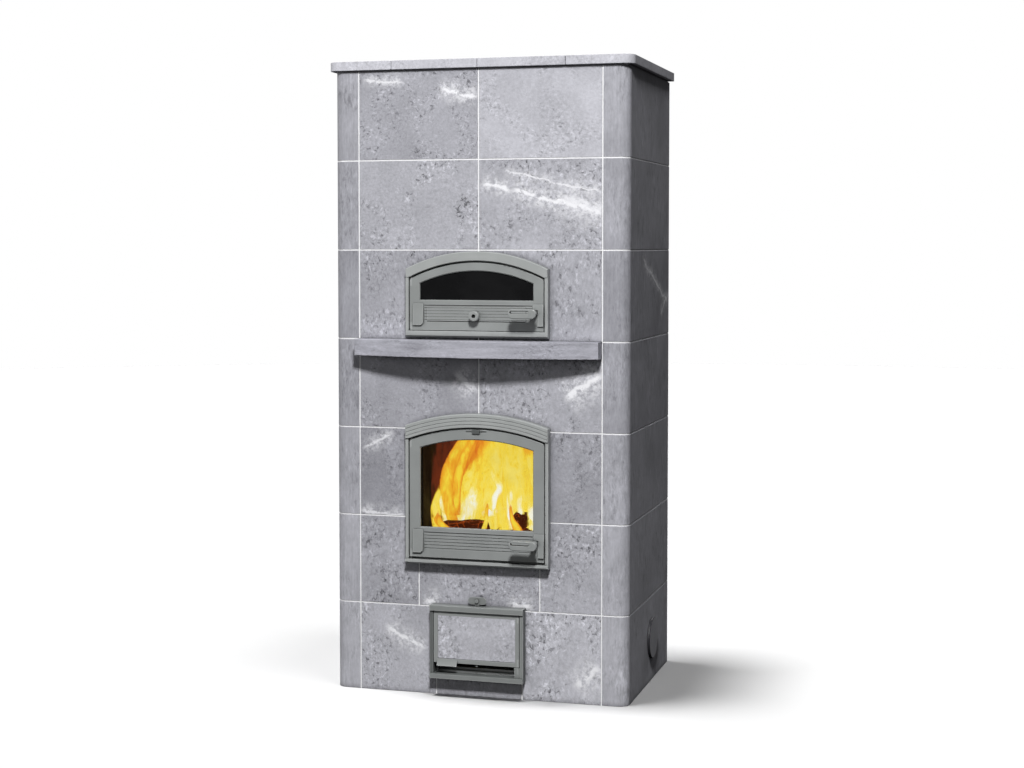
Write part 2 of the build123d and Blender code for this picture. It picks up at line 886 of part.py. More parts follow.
for door, name in ((fire_door, "fire_door"), (oven_door, "oven_door")):
    save(make_glass(door), f"{name}_glass")
    save(make_clips(door), f"{name}_glass_clips")
    save(make_gasket(door), f"{name}_gasket")
    save(make_handle(door), f"{name}_handle")
    save(make_pawl(door), f"{name}_pawl")

# fire leaf, with a groove under its crown for the air slide
tab_height = fire_door.arch_centre + fire_door.leaf_radius - slide_tab_height / 2
with BuildPart() as fire_door_leaf:
    add(make_leaf(fire_door).part)
    with BuildSketch(facing(leaf_proud)):
        with Locations((0, tab_height)):
            Rectangle(
                tongue_width + 2 * (slide_travel + slide_clearance),
                tongue_height + 2 * slide_clearance,
            )
    extrude(amount=-tongue_depth - slide_clearance, mode=Mode.SUBTRACT)
save(fire_door_leaf, "fire_door_leaf")

with BuildPart() as fire_air_slide:
    with BuildSketch(facing(leaf_proud + slide_clearance)):
        with Locations((0, tab_height)):
            Rectangle(slide_tab_width, slide_tab_height)
    extrude(amount=slide_tab_thickness)
    chamfer(fire_air_slide.faces().sort_by(Axis.Y)[0].edges(), 1)
    with BuildSketch(facing(leaf_proud + slide_clearance)):
        with Locations((0, tab_height)):
            Rectangle(tongue_width, tongue_height)
    extrude(amount=-tongue_depth)
save(fire_air_slide, "fire_air_slide")

# oven leaf, with a raised panel between the bosses and vent holes behind the knob
knob_height = oven_door.leaf_bottom + knob_rise
panel_bottom = oven_door.leaf_bottom + oven_panel_rise
panel_half = oven_panel_half_width
panel_face = leaf_proud + oven_panel_proud
with BuildPart() as oven_door_leaf:
    add(make_leaf(oven_door).part)
    with BuildSketch(facing(leaf_proud - groove_depth)):
        add(box_outline(-panel_half, panel_half, panel_bottom, panel_bottom + oven_panel_height))
    extrude(amount=groove_depth + oven_panel_proud)
    with BuildSketch(facing(leaf_proud)):
        add(box_outline(-panel_half, panel_half, panel_bottom - oven_panel_groove, panel_bottom))
    extrude(amount=-groove_depth, mode=Mode.SUBTRACT)
    with BuildSketch(facing(panel_face)):
        for number in range(oven_door.reed_count):
            height = oven_door.leaf_bottom + oven_door.reed_rise + number * oven_door.reed_pitch
            add(box_outline(-panel_half, panel_half, height, height + groove_width))
    extrude(amount=-oven_panel_reed_depth, mode=Mode.SUBTRACT)
    with BuildSketch(facing(panel_face)):
        with Locations((0, knob_height)):
            Circle(knob_spindle_radius + spindle_running_gap)
            with PolarLocations(vent_circle_radius, vent_hole_count):
                Circle(vent_hole_radius)
    extrude(amount=-leaf_thickness - oven_panel_proud, mode=Mode.SUBTRACT)
save(oven_door_leaf, "oven_door_leaf")

leaf_back = leaf_proud - leaf_thickness
with BuildPart() as oven_air_knob:
    with BuildSketch(facing(leaf_proud + knob_reach - knob_head_thickness)):
        with Locations((0, knob_height)):
            Circle(knob_radius)
    extrude(amount=knob_head_thickness)
    fillet(oven_air_knob.faces().sort_by(Axis.Y)[0].edges(), knob_fillet)
    with BuildSketch(facing(leaf_proud + knob_reach)):
        with Locations((0, knob_height)):
            Circle(knob_bore_radius)
    extrude(amount=-knob_bore_depth, mode=Mode.SUBTRACT)
    with BuildSketch(facing(panel_face + seal_gap)):
        with Locations((0, knob_height)):
            Circle(knob_stem_radius)
    extrude(amount=knob_reach - knob_head_thickness - oven_panel_proud - seal_gap)
    with BuildSketch(facing(panel_face + seal_gap)):
        with Locations((0, knob_height)):
            Circle(knob_spindle_radius)
    extrude(amount=-leaf_thickness - oven_panel_proud - 2 * seal_gap - shutter_thickness)
save(oven_air_knob, "oven_air_knob")

with BuildPart() as oven_air_shutter:
    with BuildSketch(facing(leaf_back - seal_gap)):
        with Locations((0, knob_height)):
            Circle(shutter_radius)
            Circle(knob_spindle_radius + pin_seat_gap, mode=Mode.SUBTRACT)
            with PolarLocations(vent_circle_radius, vent_hole_count, 180 / vent_hole_count):
                Circle(vent_hole_radius, mode=Mode.SUBTRACT)
    extrude(amount=-shutter_thickness)
save(oven_air_shutter, "oven_air_shutter")

# ---- Ash door, hinged on the right -------------------------------------------------------------
ash_frame_top = pitch + ash_frame_rise
ash_open_half = ash_half_width - stile_width
ash_open_top = ash_frame_top - ash_rail_height
ash_open_bottom = ash_frame_bottom + ash_sill_height
ash_leaf_half = ash_open_half - leaf_gap
ash_leaf_top = ash_open_top - leaf_gap
ash_hinge_x = ash_leaf_half - hinge_inset
ash_back = leaf_proud - ash_leaf_thickness
air_tab_bottom = ash_frame_top + air_tab_gap
air_slot_proud = ash_back + 1
collar_half = ash_opening_half - collar_clearance
ash_pins = (
    (ash_open_bottom + pin_length_in_frame, ash_leaf_bottom + pin_length_in_leaf),
    (ash_leaf_top - pin_length_in_leaf, ash_open_top + pin_length_in_frame),
)


def ash_pin_tools(radius):
    """Upright cylinders on the ash door's hinge axis."""
    with BuildPart() as pins:
        for low, high in ash_pins:
            with BuildSketch(Plane.XY.offset(low)):
                with Locations((ash_hinge_x, hinge_inset - front - leaf_proud)):
                    Circle(radius)
            extrude(amount=high - low)
    return pins.part


with BuildPart() as ash_door_frame:
    with BuildSketch(facing(0)):
        add(box_outline(-ash_half_width, ash_half_width, ash_frame_bottom, ash_frame_top))
        add(box_outline(-ash_open_half, ash_open_half, ash_open_bottom, ash_open_top), mode=Mode.SUBTRACT)
    extrude(amount=flange_proud)
    # top rail and sill stand further out
    with BuildSketch(facing(flange_proud)):
        add(box_outline(-ash_half_width, ash_half_width, ash_open_top, ash_frame_top))
        add(box_outline(-ash_half_width, ash_half_width, ash_frame_bottom, ash_open_bottom))
    extrude(amount=ash_rail_proud - flange_proud)
    rail_edges = ash_door_frame.faces().group_by(Axis.Y)[0].edges().filter_by(Axis.X)
    chamfer(rail_edges.group_by(Axis.Z)[-1] + rail_edges.group_by(Axis.Z)[1], moulding_chamfer)
    # collar through the wall
    with BuildSketch(facing(0)):
        add(box_outline(-collar_half, collar_half, sill_stone_height + collar_clearance, pitch - 1))
        inner = collar_half - ash_collar_wall
        inner_bottom = ash_open_bottom + ash_collar_wall
        add(box_outline(-inner, inner, inner_bottom, ash_open_top - ash_collar_wall), mode=Mode.SUBTRACT)
    extrude(amount=-front_thickness)
    # panel with the air slot, set back below the leaf, and the shelf over it
    with BuildSketch(facing(-ash_vent_setback)):
        add(box_outline(-ash_open_half, ash_open_half, ash_open_bottom, ash_leaf_bottom))
        slot_half = ash_half_width - ash_vent_slot_margin
        slot_low = ash_open_bottom + ash_vent_slot_height
        add(box_outline(-slot_half, slot_half, slot_low, slot_low + ash_vent_slot_height), mode=Mode.SUBTRACT)
    extrude(amount=ash_vent_panel_thickness)
    with BuildSketch(facing(-ash_vent_setback)):
        shelf_under = ash_leaf_bottom - ash_vent_panel_thickness
        add(box_outline(-ash_open_half, ash_open_half, shelf_under, ash_leaf_bottom))
    extrude(amount=ash_vent_setback + ash_back - ash_shelf_gap)
    with BuildSketch(facing(-ash_vent_setback)):
        with Locations((0, ash_leaf_bottom - pin_radius - leaf_gap)):
            Circle(pin_radius)
    extrude(amount=ash_vent_setback + ash_catch_proud)
    # bracket that carries the lower hinge pin
    with BuildSketch(facing(0)):
        bracket_left = ash_open_half - ash_bracket_width
        add(box_outline(bracket_left, ash_open_half, ash_open_bottom, ash_leaf_bottom - leaf_gap))
    extrude(amount=leaf_proud)
    add(ash_pin_tools(pin_radius + pin_seat_gap), mode=Mode.SUBTRACT)
    # channel and slot for the air slide in the top rail
    channel_half = air_foot_width / 2 + air_travel + 2 * slide_clearance
    slot_half = air_neck_width / 2 + air_travel + 2 * slide_clearance
    channel_top = ash_open_top + air_foot_height + 1 + slide_clearance
    with BuildSketch(facing(air_slot_proud - slide_clearance)):
        add(box_outline(-channel_half, channel_half, ash_open_top, channel_top))
        add(box_outline(-slot_half, slot_half, ash_open_top, ash_frame_top))
    extrude(amount=air_tab_thickness + 2 * slide_clearance, mode=Mode.SUBTRACT)
save(ash_door_frame, "ash_door_frame")

with BuildPart() as ash_air_slide:
    with BuildSketch(facing(air_slot_proud)) as slide_plan:
        foot_low = ash_open_top + 1
        add(box_outline(-air_foot_width / 2, air_foot_width / 2, foot_low, foot_low + air_foot_height))
        add(box_outline(-air_neck_width / 2, air_neck_width / 2, foot_low, air_tab_bottom + 1))
        with Locations((0, air_tab_bottom + air_tab_height / 2)):
            SlotOverall(air_tab_width, air_tab_height)
    extrude(amount=air_tab_thickness)
    with BuildSketch(facing(air_slot_proud + air_tab_thickness)):
        with Locations((0, air_tab_bottom + air_tab_height / 2)):
            Circle(air_nub_radius)
    extrude(amount=air_nub_height)
save(ash_air_slide, "ash_air_slide")

with BuildPart() as ash_door_leaf:
    with BuildSketch(facing(ash_back)):
        add(box_outline(-ash_leaf_half, ash_leaf_half, ash_leaf_bottom, ash_leaf_top))
    extrude(amount=ash_leaf_thickness)
    front_edges = ash_door_leaf.faces().sort_by(Axis.Y)[0].outer_wire().edges()
    fillet(front_edges.filter_by(Axis.Z).sort_by(Axis.X)[-1], leaf_edge_fillet)
    # pocket for the stone insert
    with BuildSketch(facing(leaf_proud)):
        pocket_half = ash_leaf_half - ash_insert_margin
        pocket_low = ash_leaf_bottom + ash_insert_margin
        add(box_outline(-pocket_half, pocket_half, pocket_low, ash_leaf_top - ash_insert_margin))
    extrude(amount=-ash_insert_depth, mode=Mode.SUBTRACT)
    # finger tab at the free lower corner
    tab_left = ash_tab_edge - ash_leaf_half
    with BuildSketch(Plane.YZ.offset(tab_left)) as tab_section:
        with BuildLine():
            face = -front - leaf_proud
            low = ash_leaf_bottom - ash_tab_height / 2
            Polyline(
                (face + 1, ash_leaf_bottom + ash_insert_margin - 1),
                (face, ash_leaf_bottom + ash_insert_margin - 1),
                (face - ash_tab_depth, low),
                (face + 1, low),
                close=True,
            )
        make_face()
    extrude(amount=ash_tab_width)
    add(ash_pin_tools(pin_radius + pin_running_gap), mode=Mode.SUBTRACT)
save(ash_door_leaf, "ash_door_leaf")

with BuildPart() as ash_door_insert:
    with BuildSketch(facing(leaf_proud - ash_insert_depth)):
        insert_half = ash_leaf_half - ash_insert_margin - seal_gap
        insert_low = ash_leaf_bottom + ash_insert_margin + seal_gap
        add(box_outline(-insert_half, insert_half, insert_low, ash_leaf_top - ash_insert_margin - seal_gap))
    extrude(amount=ash_insert_depth)
save(ash_door_insert, "ash_door_insert")

with BuildPart() as hinge_pins:
    add(pin_tools(fire_door, pin_radius))
    add(pin_tools(oven_door, pin_radius))
    add(ash_pin_tools(pin_radius))
save(hinge_pins, "hinge_pins")

# ---- Core: base, ash chamber, firebox and oven -------------------------------------------------
hearth_top = fire_door.bottom + hearth_rise
hearth_bottom = hearth_top - hearth_thickness
oven_floor_top = oven_door.bottom + oven_floor_rise
oven_floor_bottom = oven_floor_top - oven_floor_thickness
oven_roof_bottom = oven_floor_top + oven_clear_height

with BuildPart() as base_slab:
    with BuildSketch():
        add(box_outline(-side_inner, side_inner, -wall_back, rear_inner))
    extrude(amount=base_thickness)
save(base_slab, "base_slab")


def side_blocks(inner_half, low, high):
    """Left and right blocks of the core."""
    with BuildPart() as blocks:
        with BuildSketch(Plane.XY.offset(low)):
            add(box_outline(inner_half, core_half_width, -wall_back, core_back))
            add(box_outline(-core_half_width, -inner_half, -wall_back, core_back))
        extrude(amount=high - low)
    return blocks.part


with BuildPart() as ash_chamber_walls:
    add(side_blocks(ash_chamber_half_width, base_thickness, hearth_bottom))
    with BuildSketch(Plane.XY.offset(base_thickness)):
        back_start = ash_chamber_depth - wall_back
        add(box_outline(-ash_chamber_half_width, ash_chamber_half_width, back_start, core_back))
    extrude(amount=hearth_bottom - base_thickness)
save(ash_chamber_walls, "ash_chamber_walls")

pan_front = pan_setback - wall_back
pan_length = ash_chamber_depth - pan_setback - pan_end_clearance
with BuildPart() as ash_pan:
    with BuildSketch(Plane.XY.offset(base_thickness)):
        add(box_outline(-pan_half_width, pan_half_width, pan_front, pan_front + pan_length))
    extrude(amount=pan_height)
    with BuildSketch(Plane.XY.offset(base_thickness + pan_wall)):
        inner_half = pan_half_width - pan_wall
        add(box_outline(-inner_half, inner_half, pan_front + pan_wall, pan_front + pan_length - pan_wall))
    extrude(amount=pan_height, mode=Mode.SUBTRACT)
save(ash_pan, "ash_pan")

hearth_middle = (core_back - wall_back) / 2
with BuildPart() as hearth_slab:
    with BuildSketch(Plane.XY.offset(hearth_bottom)):
        add(box_outline(-core_half_width, core_half_width, -wall_back, core_back))
    extrude(amount=hearth_thickness)
    with BuildSketch(Plane.XY.offset(hearth_top)):
        with Locations((0, hearth_middle)):
            Rectangle(grate_width + 2 * grate_clearance, grate_length + 2 * grate_clearance)
    extrude(amount=-grate_thickness, mode=Mode.SUBTRACT)
    with BuildSketch(Plane.XY.offset(hearth_bottom)):
        with Locations((0, hearth_middle)):
            Rectangle(grate_width - 2 * grate_ledge, grate_length - 2 * grate_ledge)
    extrude(amount=hearth_thickness, mode=Mode.SUBTRACT)
save(hearth_slab, "hearth_slab")

slot_pitch = (grate_width - 2 * grate_rim) / grate_slot_count
with BuildPart() as grate:
    with BuildSketch(Plane.XY.offset(hearth_top - grate_thickness)):
        with Locations((0, hearth_middle)):
            Rectangle(grate_width, grate_length)
            with GridLocations(slot_pitch, 1, grate_slot_count, 1):
                SlotOverall(grate_length - 2 * grate_rim, grate_slot_width, rotation=90, mode=Mode.SUBTRACT)
    extrude(amount=grate_thickness)
save(grate, "grate")

with BuildPart() as firebox_lining:
    add(side_blocks(firebox_half_width, hearth_top, oven_floor_bottom))
    with BuildSketch(Plane.XY.offset(hearth_top)):
        lining_start = core_back - lining_back_thickness
        add(box_outline(-firebox_half_width, firebox_half_width, lining_start, core_back))
    extrude(amount=oven_floor_bottom - hearth_top)
save(firebox_lining, "firebox_lining")

with BuildPart() as oven_floor:
    with BuildSketch(Plane.XY.offset(oven_floor_bottom)):
        add(box_outline(-oven_half_width, oven_half_width, -wall_back, oven_floor_depth - wall_back))
    extrude(amount=oven_floor_thickness)
save(oven_floor, "oven_floor")

with BuildPart() as oven_lining:
    add(side_blocks(oven_half_width, oven_floor_bottom, oven_roof_bottom))
    with BuildSketch(Plane.XY.offset(oven_floor_bottom)):
        add(box_outline(-oven_half_width, oven_half_width, lining_start, core_back))
    extrude(amount=oven_roof_bottom - oven_floor_bottom)
save(oven_lining, "oven_lining")

with BuildPart() as oven_roof:
    with BuildSketch(Plane.XY.offset(oven_roof_bottom)):
        add(box_outline(-core_half_width, core_half_width, oven_roof_setback - wall_back, core_back))
    extrude(amount=oven_roof_thickness)
save(oven_roof, "oven_roof")

# walls and lid of the upper chamber, with a smoke gap between the side walls and the back wall
upper_bottom = oven_roof_bottom + oven_roof_thickness
upper_top = body_height - top_slab_thickness
with BuildPart() as upper_core:
    with BuildSketch(Plane.XY.offset(upper_bottom)):
        side_end = lining_start - upper_smoke_gap
        add(box_outline(oven_half_width, core_half_width, oven_roof_setback - wall_back, side_end))
        add(box_outline(-core_half_width, -oven_half_width, oven_roof_setback - wall_back, side_end))
        add(box_outline(-core_half_width, core_half_width, lining_start, core_back))
    extrude(amount=upper_top - upper_bottom)
    with BuildSketch(Plane.XY.offset(upper_top)):
        add(box_outline(-side_inner, side_inner, -wall_back, rear_inner))
    extrude(amount=top_slab_thickness)
save(upper_core, "upper_core")
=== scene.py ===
"""Looks of the soapstone stove: worked stone, castings, glass, a fire, light and the camera.

Metres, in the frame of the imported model: the front wall faces -Y and +Z is up.
"""

import json
import math
from typing import NamedTuple

import bmesh
import bpy
from mathutils import Euler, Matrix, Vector, noise


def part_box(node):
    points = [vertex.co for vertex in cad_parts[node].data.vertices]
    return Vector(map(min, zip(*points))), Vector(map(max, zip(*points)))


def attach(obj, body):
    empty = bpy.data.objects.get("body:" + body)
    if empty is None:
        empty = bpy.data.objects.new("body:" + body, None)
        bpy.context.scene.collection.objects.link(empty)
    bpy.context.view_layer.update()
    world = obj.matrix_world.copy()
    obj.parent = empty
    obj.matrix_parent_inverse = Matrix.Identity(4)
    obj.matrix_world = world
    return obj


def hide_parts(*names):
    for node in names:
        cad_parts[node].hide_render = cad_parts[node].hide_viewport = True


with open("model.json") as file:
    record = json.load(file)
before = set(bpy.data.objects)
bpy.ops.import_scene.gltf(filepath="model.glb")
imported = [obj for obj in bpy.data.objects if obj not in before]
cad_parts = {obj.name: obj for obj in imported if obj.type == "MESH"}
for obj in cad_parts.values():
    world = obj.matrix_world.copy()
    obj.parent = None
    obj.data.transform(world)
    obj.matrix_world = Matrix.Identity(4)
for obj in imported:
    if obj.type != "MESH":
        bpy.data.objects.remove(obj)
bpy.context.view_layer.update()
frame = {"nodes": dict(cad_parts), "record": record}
nodes = frame["nodes"]
record = frame["record"]
body_of = {node: body for body, members in record["behaviour"]["bodies"].items()
           for node in members}
slot_of = {part["node"]: part["material_slot"] for part in record["subparts"]}

# ---- Places read from the frame ----------------------------------------------------------------
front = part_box("front_slab_3_left")[0].y            # the stone front
course_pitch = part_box("front_slab_3_left")[0].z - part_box("front_slab_2_left")[0].z
hearth_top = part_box("hearth_slab")[1].z
slots = [opening["box_m"] for opening in record["physics"]["openings"]
         if opening["name"].endswith("handle_slot")]
ash_leaf_low_corner, ash_leaf_high_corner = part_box("ash_door_leaf")

# ---- Which faces get which paint ---------------------------------------------------------------
FACING = 0.7                                        # least part of a normal along its axis
SLOT_FACING = 0.6                                   # the walls of a handle's slot face less far
SLOT_MARGIN = 0.004                                 # round the slot's box
RECESS_REACH = 0.002                                # of the ash door's recess, before the stone

# ---- Edge work ---------------------------------------------------------------------------------
STONE_EDGE = 0.0012
CASTING_EDGE = 0.0007
SHARP_ANGLE = math.radians(25)                      # a larger bend is an edge to break
CURVE_ANGLE = math.radians(0.6)                     # a smaller bend is flat
FLAT_ANGLE = math.radians(0.5)                      # faces that bend less are joined
SHADING_ANGLE = math.radians(38)                    # a larger bend is shaded as an edge
SAME_POINT = 1e-6

# ---- Camera ------------------------------------------------------------------------------------
CAMERA_PLACE = (1.4594, -5.0355, 1.2791)
CAMERA_TURN = math.radians(15.997)                  # to the left of straight on
CAMERA_TILT = math.radians(2.849)                   # downwards
CAMERA_LENS = 62.39
CAMERA_SHIFT = -0.05
SENSOR_WIDTH = 36
PICTURE_WIDTH, PICTURE_HEIGHT = 1024, 768


# ---- Materials ---------------------------------------------------------------------------------
def shade(red, green, blue):
    """A linear colour from display values of 0 to 255."""
    def linear(value):
        value = value / 255
        return value / 12.92 if value <= 0.04045 else ((value + 0.055) / 1.055) ** 2.4
    return (linear(red), linear(green), linear(blue), 1.0)


def grey(level, blue=0.0):
    """A grey of 0 to 255, bluish where blue is above zero."""
    return shade(level, level, level + blue)


class Paint:
    """A material whose nodes are added with short calls, in the coordinates of the frame."""
    MIX_INPUTS = 6, 7                               # the mix node's sockets for colours
    MIX_OUTPUT = 2
    HOLLOW_SAMPLES = 6

    def __init__(self, name, roughness=0.6, metallic=0.0, specular=0.5):
        self.material = bpy.data.materials.new(name)
        self.material.use_nodes = True
        self.tree = self.material.node_tree
        self.shader = self.tree.nodes["Principled BSDF"]
        self.shader.inputs["Roughness"].default_value = roughness
        self.shader.inputs["Metallic"].default_value = metallic
        self.shader.inputs["Specular IOR Level"].default_value = specular
        self.place = self.tree.nodes.new("ShaderNodeTexCoord").outputs["Object"]

    def put(self, socket, value):
        """Links an output to the socket, or sets the socket to a plain value."""
        if isinstance(value, bpy.types.NodeSocket):
            self.tree.links.new(value, socket)
        else:
            socket.default_value = value

    def math(self, operation, first, second=0.0, clamp=False):
        node = self.tree.nodes.new("ShaderNodeMath")
        node.operation = operation
        node.use_clamp = clamp
        self.put(node.inputs[0], first)
        self.put(node.inputs[1], second)
        return node.outputs[0]

    def vector(self, operation, first, second):
        node = self.tree.nodes.new("ShaderNodeVectorMath")
        node.operation = operation
        self.put(node.inputs[0], first)
        self.put(node.inputs[1], second)
        return node.outputs["Value" if operation == "DOT_PRODUCT" else "Vector"]

    def total(self, *values):
        """The sum of several values."""
        result = values[0]
        for value in values[1:]:
            result = self.math("ADD", result, value)
        return result

    def times(self, *values):
        """The product of several values."""
        result = values[0]
        for value in values[1:]:
            result = self.math("MULTIPLY", result, value)
        return result

    def hollow(self, distance, inside=False):
        """1 in the open, falling to 0 deep in a corner. inside finds outer edges instead."""
        node = self.tree.nodes.new("ShaderNodeAmbientOcclusion")
        node.samples = self.HOLLOW_SAMPLES
        node.inside = inside
        node.only_local = inside
        node.inputs["Distance"].default_value = distance
        return node.outputs["AO"]

    def moved(self, stretch=(1, 1, 1), shift=(0, 0, 0), turn=0.0):
        """The place, turned about Y, scaled and shifted."""
        node = self.tree.nodes.new("ShaderNodeMapping")
        node.inputs["Location"].default_value = shift
        node.inputs["Rotation"].default_value = (0, turn, 0)
        node.inputs["Scale"].default_value = stretch
        self.put(node.inputs["Vector"], self.place)
        return node.outputs[0]

    def noise(self, scale, detail=3.0, rough=0.55, at=None, distort=0.0):
        node = self.tree.nodes.new("ShaderNodeTexNoise")
        node.inputs["Scale"].default_value = scale
        node.inputs["Detail"].default_value = detail
        node.inputs["Roughness"].default_value = rough
        node.inputs["Distortion"].default_value = distort
        self.put(node.inputs["Vector"], at or self.place)
        return node.outputs["Fac"]

    def cells(self, scale, at=None, feature="F1"):
        node = self.tree.nodes.new("ShaderNodeTexVoronoi")
        node.feature = feature
        node.inputs["Scale"].default_value = scale
        self.put(node.inputs["Vector"], at or self.place)
        return node.outputs["Distance"]

    def span(self, value, low, high, to_low=0.0, to_high=1.0):
        """Smoothly maps low to high onto to_low to to_high, and holds the ends."""
        node = self.tree.nodes.new("ShaderNodeMapRange")
        node.interpolation_type = "SMOOTHSTEP"
        for socket, number in zip(node.inputs[1:5], (low, high, to_low, to_high)):
            socket.default_value = number
        self.put(node.inputs["Value"], value)
        return node.outputs["Result"]

    def ramp(self, value, *stops):
        """Colours at places from 0 to 1, each stop (place, colour)."""
        node = self.tree.nodes.new("ShaderNodeValToRGB")
        elements = node.color_ramp.elements
        while len(elements) < len(stops):
            elements.new(1.0)
        for element, (place, colour) in zip(elements, stops):
            element.position = place
            element.color = colour
        self.put(node.inputs[0], value)
        return node.outputs[0]

    def mix(self, share, first, second):
        """The first colour where share is 0, and the second where it is 1."""
        node = self.tree.nodes.new("ShaderNodeMix")
        node.data_type = "RGBA"
        self.put(node.inputs["Factor"], share)
        for number, value in zip(self.MIX_INPUTS, (first, second)):
            self.put(node.inputs[number], value)
        return node.outputs[self.MIX_OUTPUT]

    def triple(self, value):
        """The same value on three channels."""
        node = self.tree.nodes.new("ShaderNodeCombineXYZ")
        for socket in node.inputs:
            self.put(socket, value)
        return node.outputs[0]

    def colour(self, value):
        self.put(self.shader.inputs["Base Color"], value)

    def roughness(self, value):
        self.put(self.shader.inputs["Roughness"], value)

    def bump(self, height, distance, strength=1.0):
        node = self.tree.nodes.new("ShaderNodeBump")
        node.inputs["Distance"].default_value = distance
        node.inputs["Strength"].default_value = strength
        self.put(node.inputs["Height"], height)
        if self.shader.inputs["Normal"].is_linked:
            self.put(node.inputs["Normal"], self.shader.inputs["Normal"].links[0].from_socket)
        self.put(self.shader.inputs["Normal"], node.outputs[0])


class Vein(NamedTuple):
    """A pale streak in the stone from one point to another, in metres, seen from the front."""
    start: tuple
    end: tuple
    width: float = 0.004
    strength: float = 0.8


VEIN_COLOUR = grey(242, 4)


def vein_mask(paint, vein, seed, side_on=False):
    """How much of a vein there is at each place. side_on veins are drawn on the side face."""
    (u1, z1), (u2, z2) = vein.start, vein.end
    length = math.hypot(u2 - u1, z2 - z1)
    along = ((u2 - u1) / length, (z2 - z1) / length)
    across = (-along[1], along[0])

    def spread(pair):
        return (0, pair[0], pair[1]) if side_on else (pair[0], 0, pair[1])

    from_start = paint.vector("SUBTRACT", paint.place, spread((u1, z1)))
    travel = paint.vector("DOT_PRODUCT", from_start, spread(along))
    offset = paint.vector("DOT_PRODUCT", from_start, spread(across))
    drift = paint.math("MULTIPLY", paint.math("SUBTRACT", paint.noise(
        14, 5, 0.65, paint.moved(shift=(seed, 0, 0))), 0.5), 0.05)
    distance = paint.math("ABSOLUTE", paint.math("ADD", offset, drift))
    fibre = paint.span(paint.noise(90, 3, 0.7, paint.moved(shift=(seed, seed, 0))), 0.35, 0.65)
    line = paint.span(distance, vein.width * 0.2, vein.width, 1.0, 0.0)
    haze = paint.times(paint.span(distance, 0.0, vein.width * 5, 0.75, 0.0), fibre)
    broken = paint.span(paint.noise(38, 3, 0.7, paint.moved(shift=(0, seed, 0))), 0.30, 0.48)
    ends = paint.math("MULTIPLY",
                      paint.span(travel, -0.01, 0.02),
                      paint.span(travel, length - 0.02, length + 0.01, 1.0, 0.0))
    mask = paint.math("MULTIPLY", paint.math("MAXIMUM", line, haze),
                      paint.math("MULTIPLY", ends, broken))
    return paint.math("MULTIPLY", mask, vein.strength)


def soapstone(name, level, seed, grain=1.0, upright=0.6, tilt=0.0, veins=(), side_on=False,
              streaks=0.0, streak_scale=200, streak_stretch=(1, 1, 0.05), blue=7):
    """Soft bluish-grey stone: slow clouds, dark and pale flecks in drifts, and pale veins.

    level is the stone's display grey, upright how much its flecks are drawn out vertically, tilt
    the angle that they lean, and streaks the strength of the sawn lines.
    """
    paint = Paint(name, roughness=0.62, specular=0.25)
    shift = (seed * 3.1, seed * 1.7, seed * 2.3)
    drawn = paint.moved((1, 1, upright), shift, tilt)
    clouds = paint.noise(6, 4, 0.6, paint.moved(shift=shift), 0.5)
    drift = paint.span(paint.noise(8, 3, 0.6, paint.moved((1, 1, 0.8), shift, tilt), 0.6),
                       0.41, 0.59, 0.15, 1.0)
    fine = paint.noise(135, 4, 0.8, drawn)
    blobs = paint.noise(84, 2, 0.6, drawn, 0.5)
    dark = paint.times(paint.span(blobs, 0.44, 0.33), drift, 0.5 * grain)
    pale = paint.times(paint.span(blobs, 0.57, 0.68), drift, 0.42 * grain)
    tone = paint.total(1.0, pale,
                       paint.times(paint.math("SUBTRACT", clouds, 0.5), 0.75),
                       paint.times(paint.math("SUBTRACT", fine, 0.5), 0.7 + 0.9 * grain,
                                   paint.total(0.45, paint.times(drift, 0.75))))
    tone = paint.math("SUBTRACT", tone, dark)
    if streaks:
        lines = paint.noise(streak_scale, 3, 0.6, paint.moved(streak_stretch, shift, tilt * 0.2))
        tone = paint.total(tone, paint.times(paint.math("SUBTRACT", lines, 0.5), streaks))
    colour = paint.vector("MULTIPLY", grey(level, blue)[:3], paint.triple(tone))
    for number, vein in enumerate(veins):
        mask = vein_mask(paint, vein, seed + 5 * number, side_on)
        colour = paint.mix(mask, colour, VEIN_COLOUR)
    # Painted shade: the stone is darker in hollows and beside the parts that stand out from it.
    painted_shade = paint.span(paint.hollow(0.02), 0.35, 0.95, 0.5, 1.0)
    paint.colour(paint.vector("MULTIPLY", colour, paint.triple(painted_shade)))
    paint.roughness(paint.span(fine, 0.3, 0.7, 0.5, 0.75))
    paint.bump(paint.math("SUBTRACT", paint.times(fine, 0.7), dark), 0.0014, 0.7)
    return paint.material


def mortar():
    paint = Paint("mortar", roughness=0.9, specular=0.2)
    grit = paint.noise(420, 3, 0.7)
    paint.colour(paint.mix(paint.span(grit, 0.3, 0.7), grey(246, 1), grey(253, 1)))
    paint.bump(grit, 0.0003, 0.5)
    return paint.material


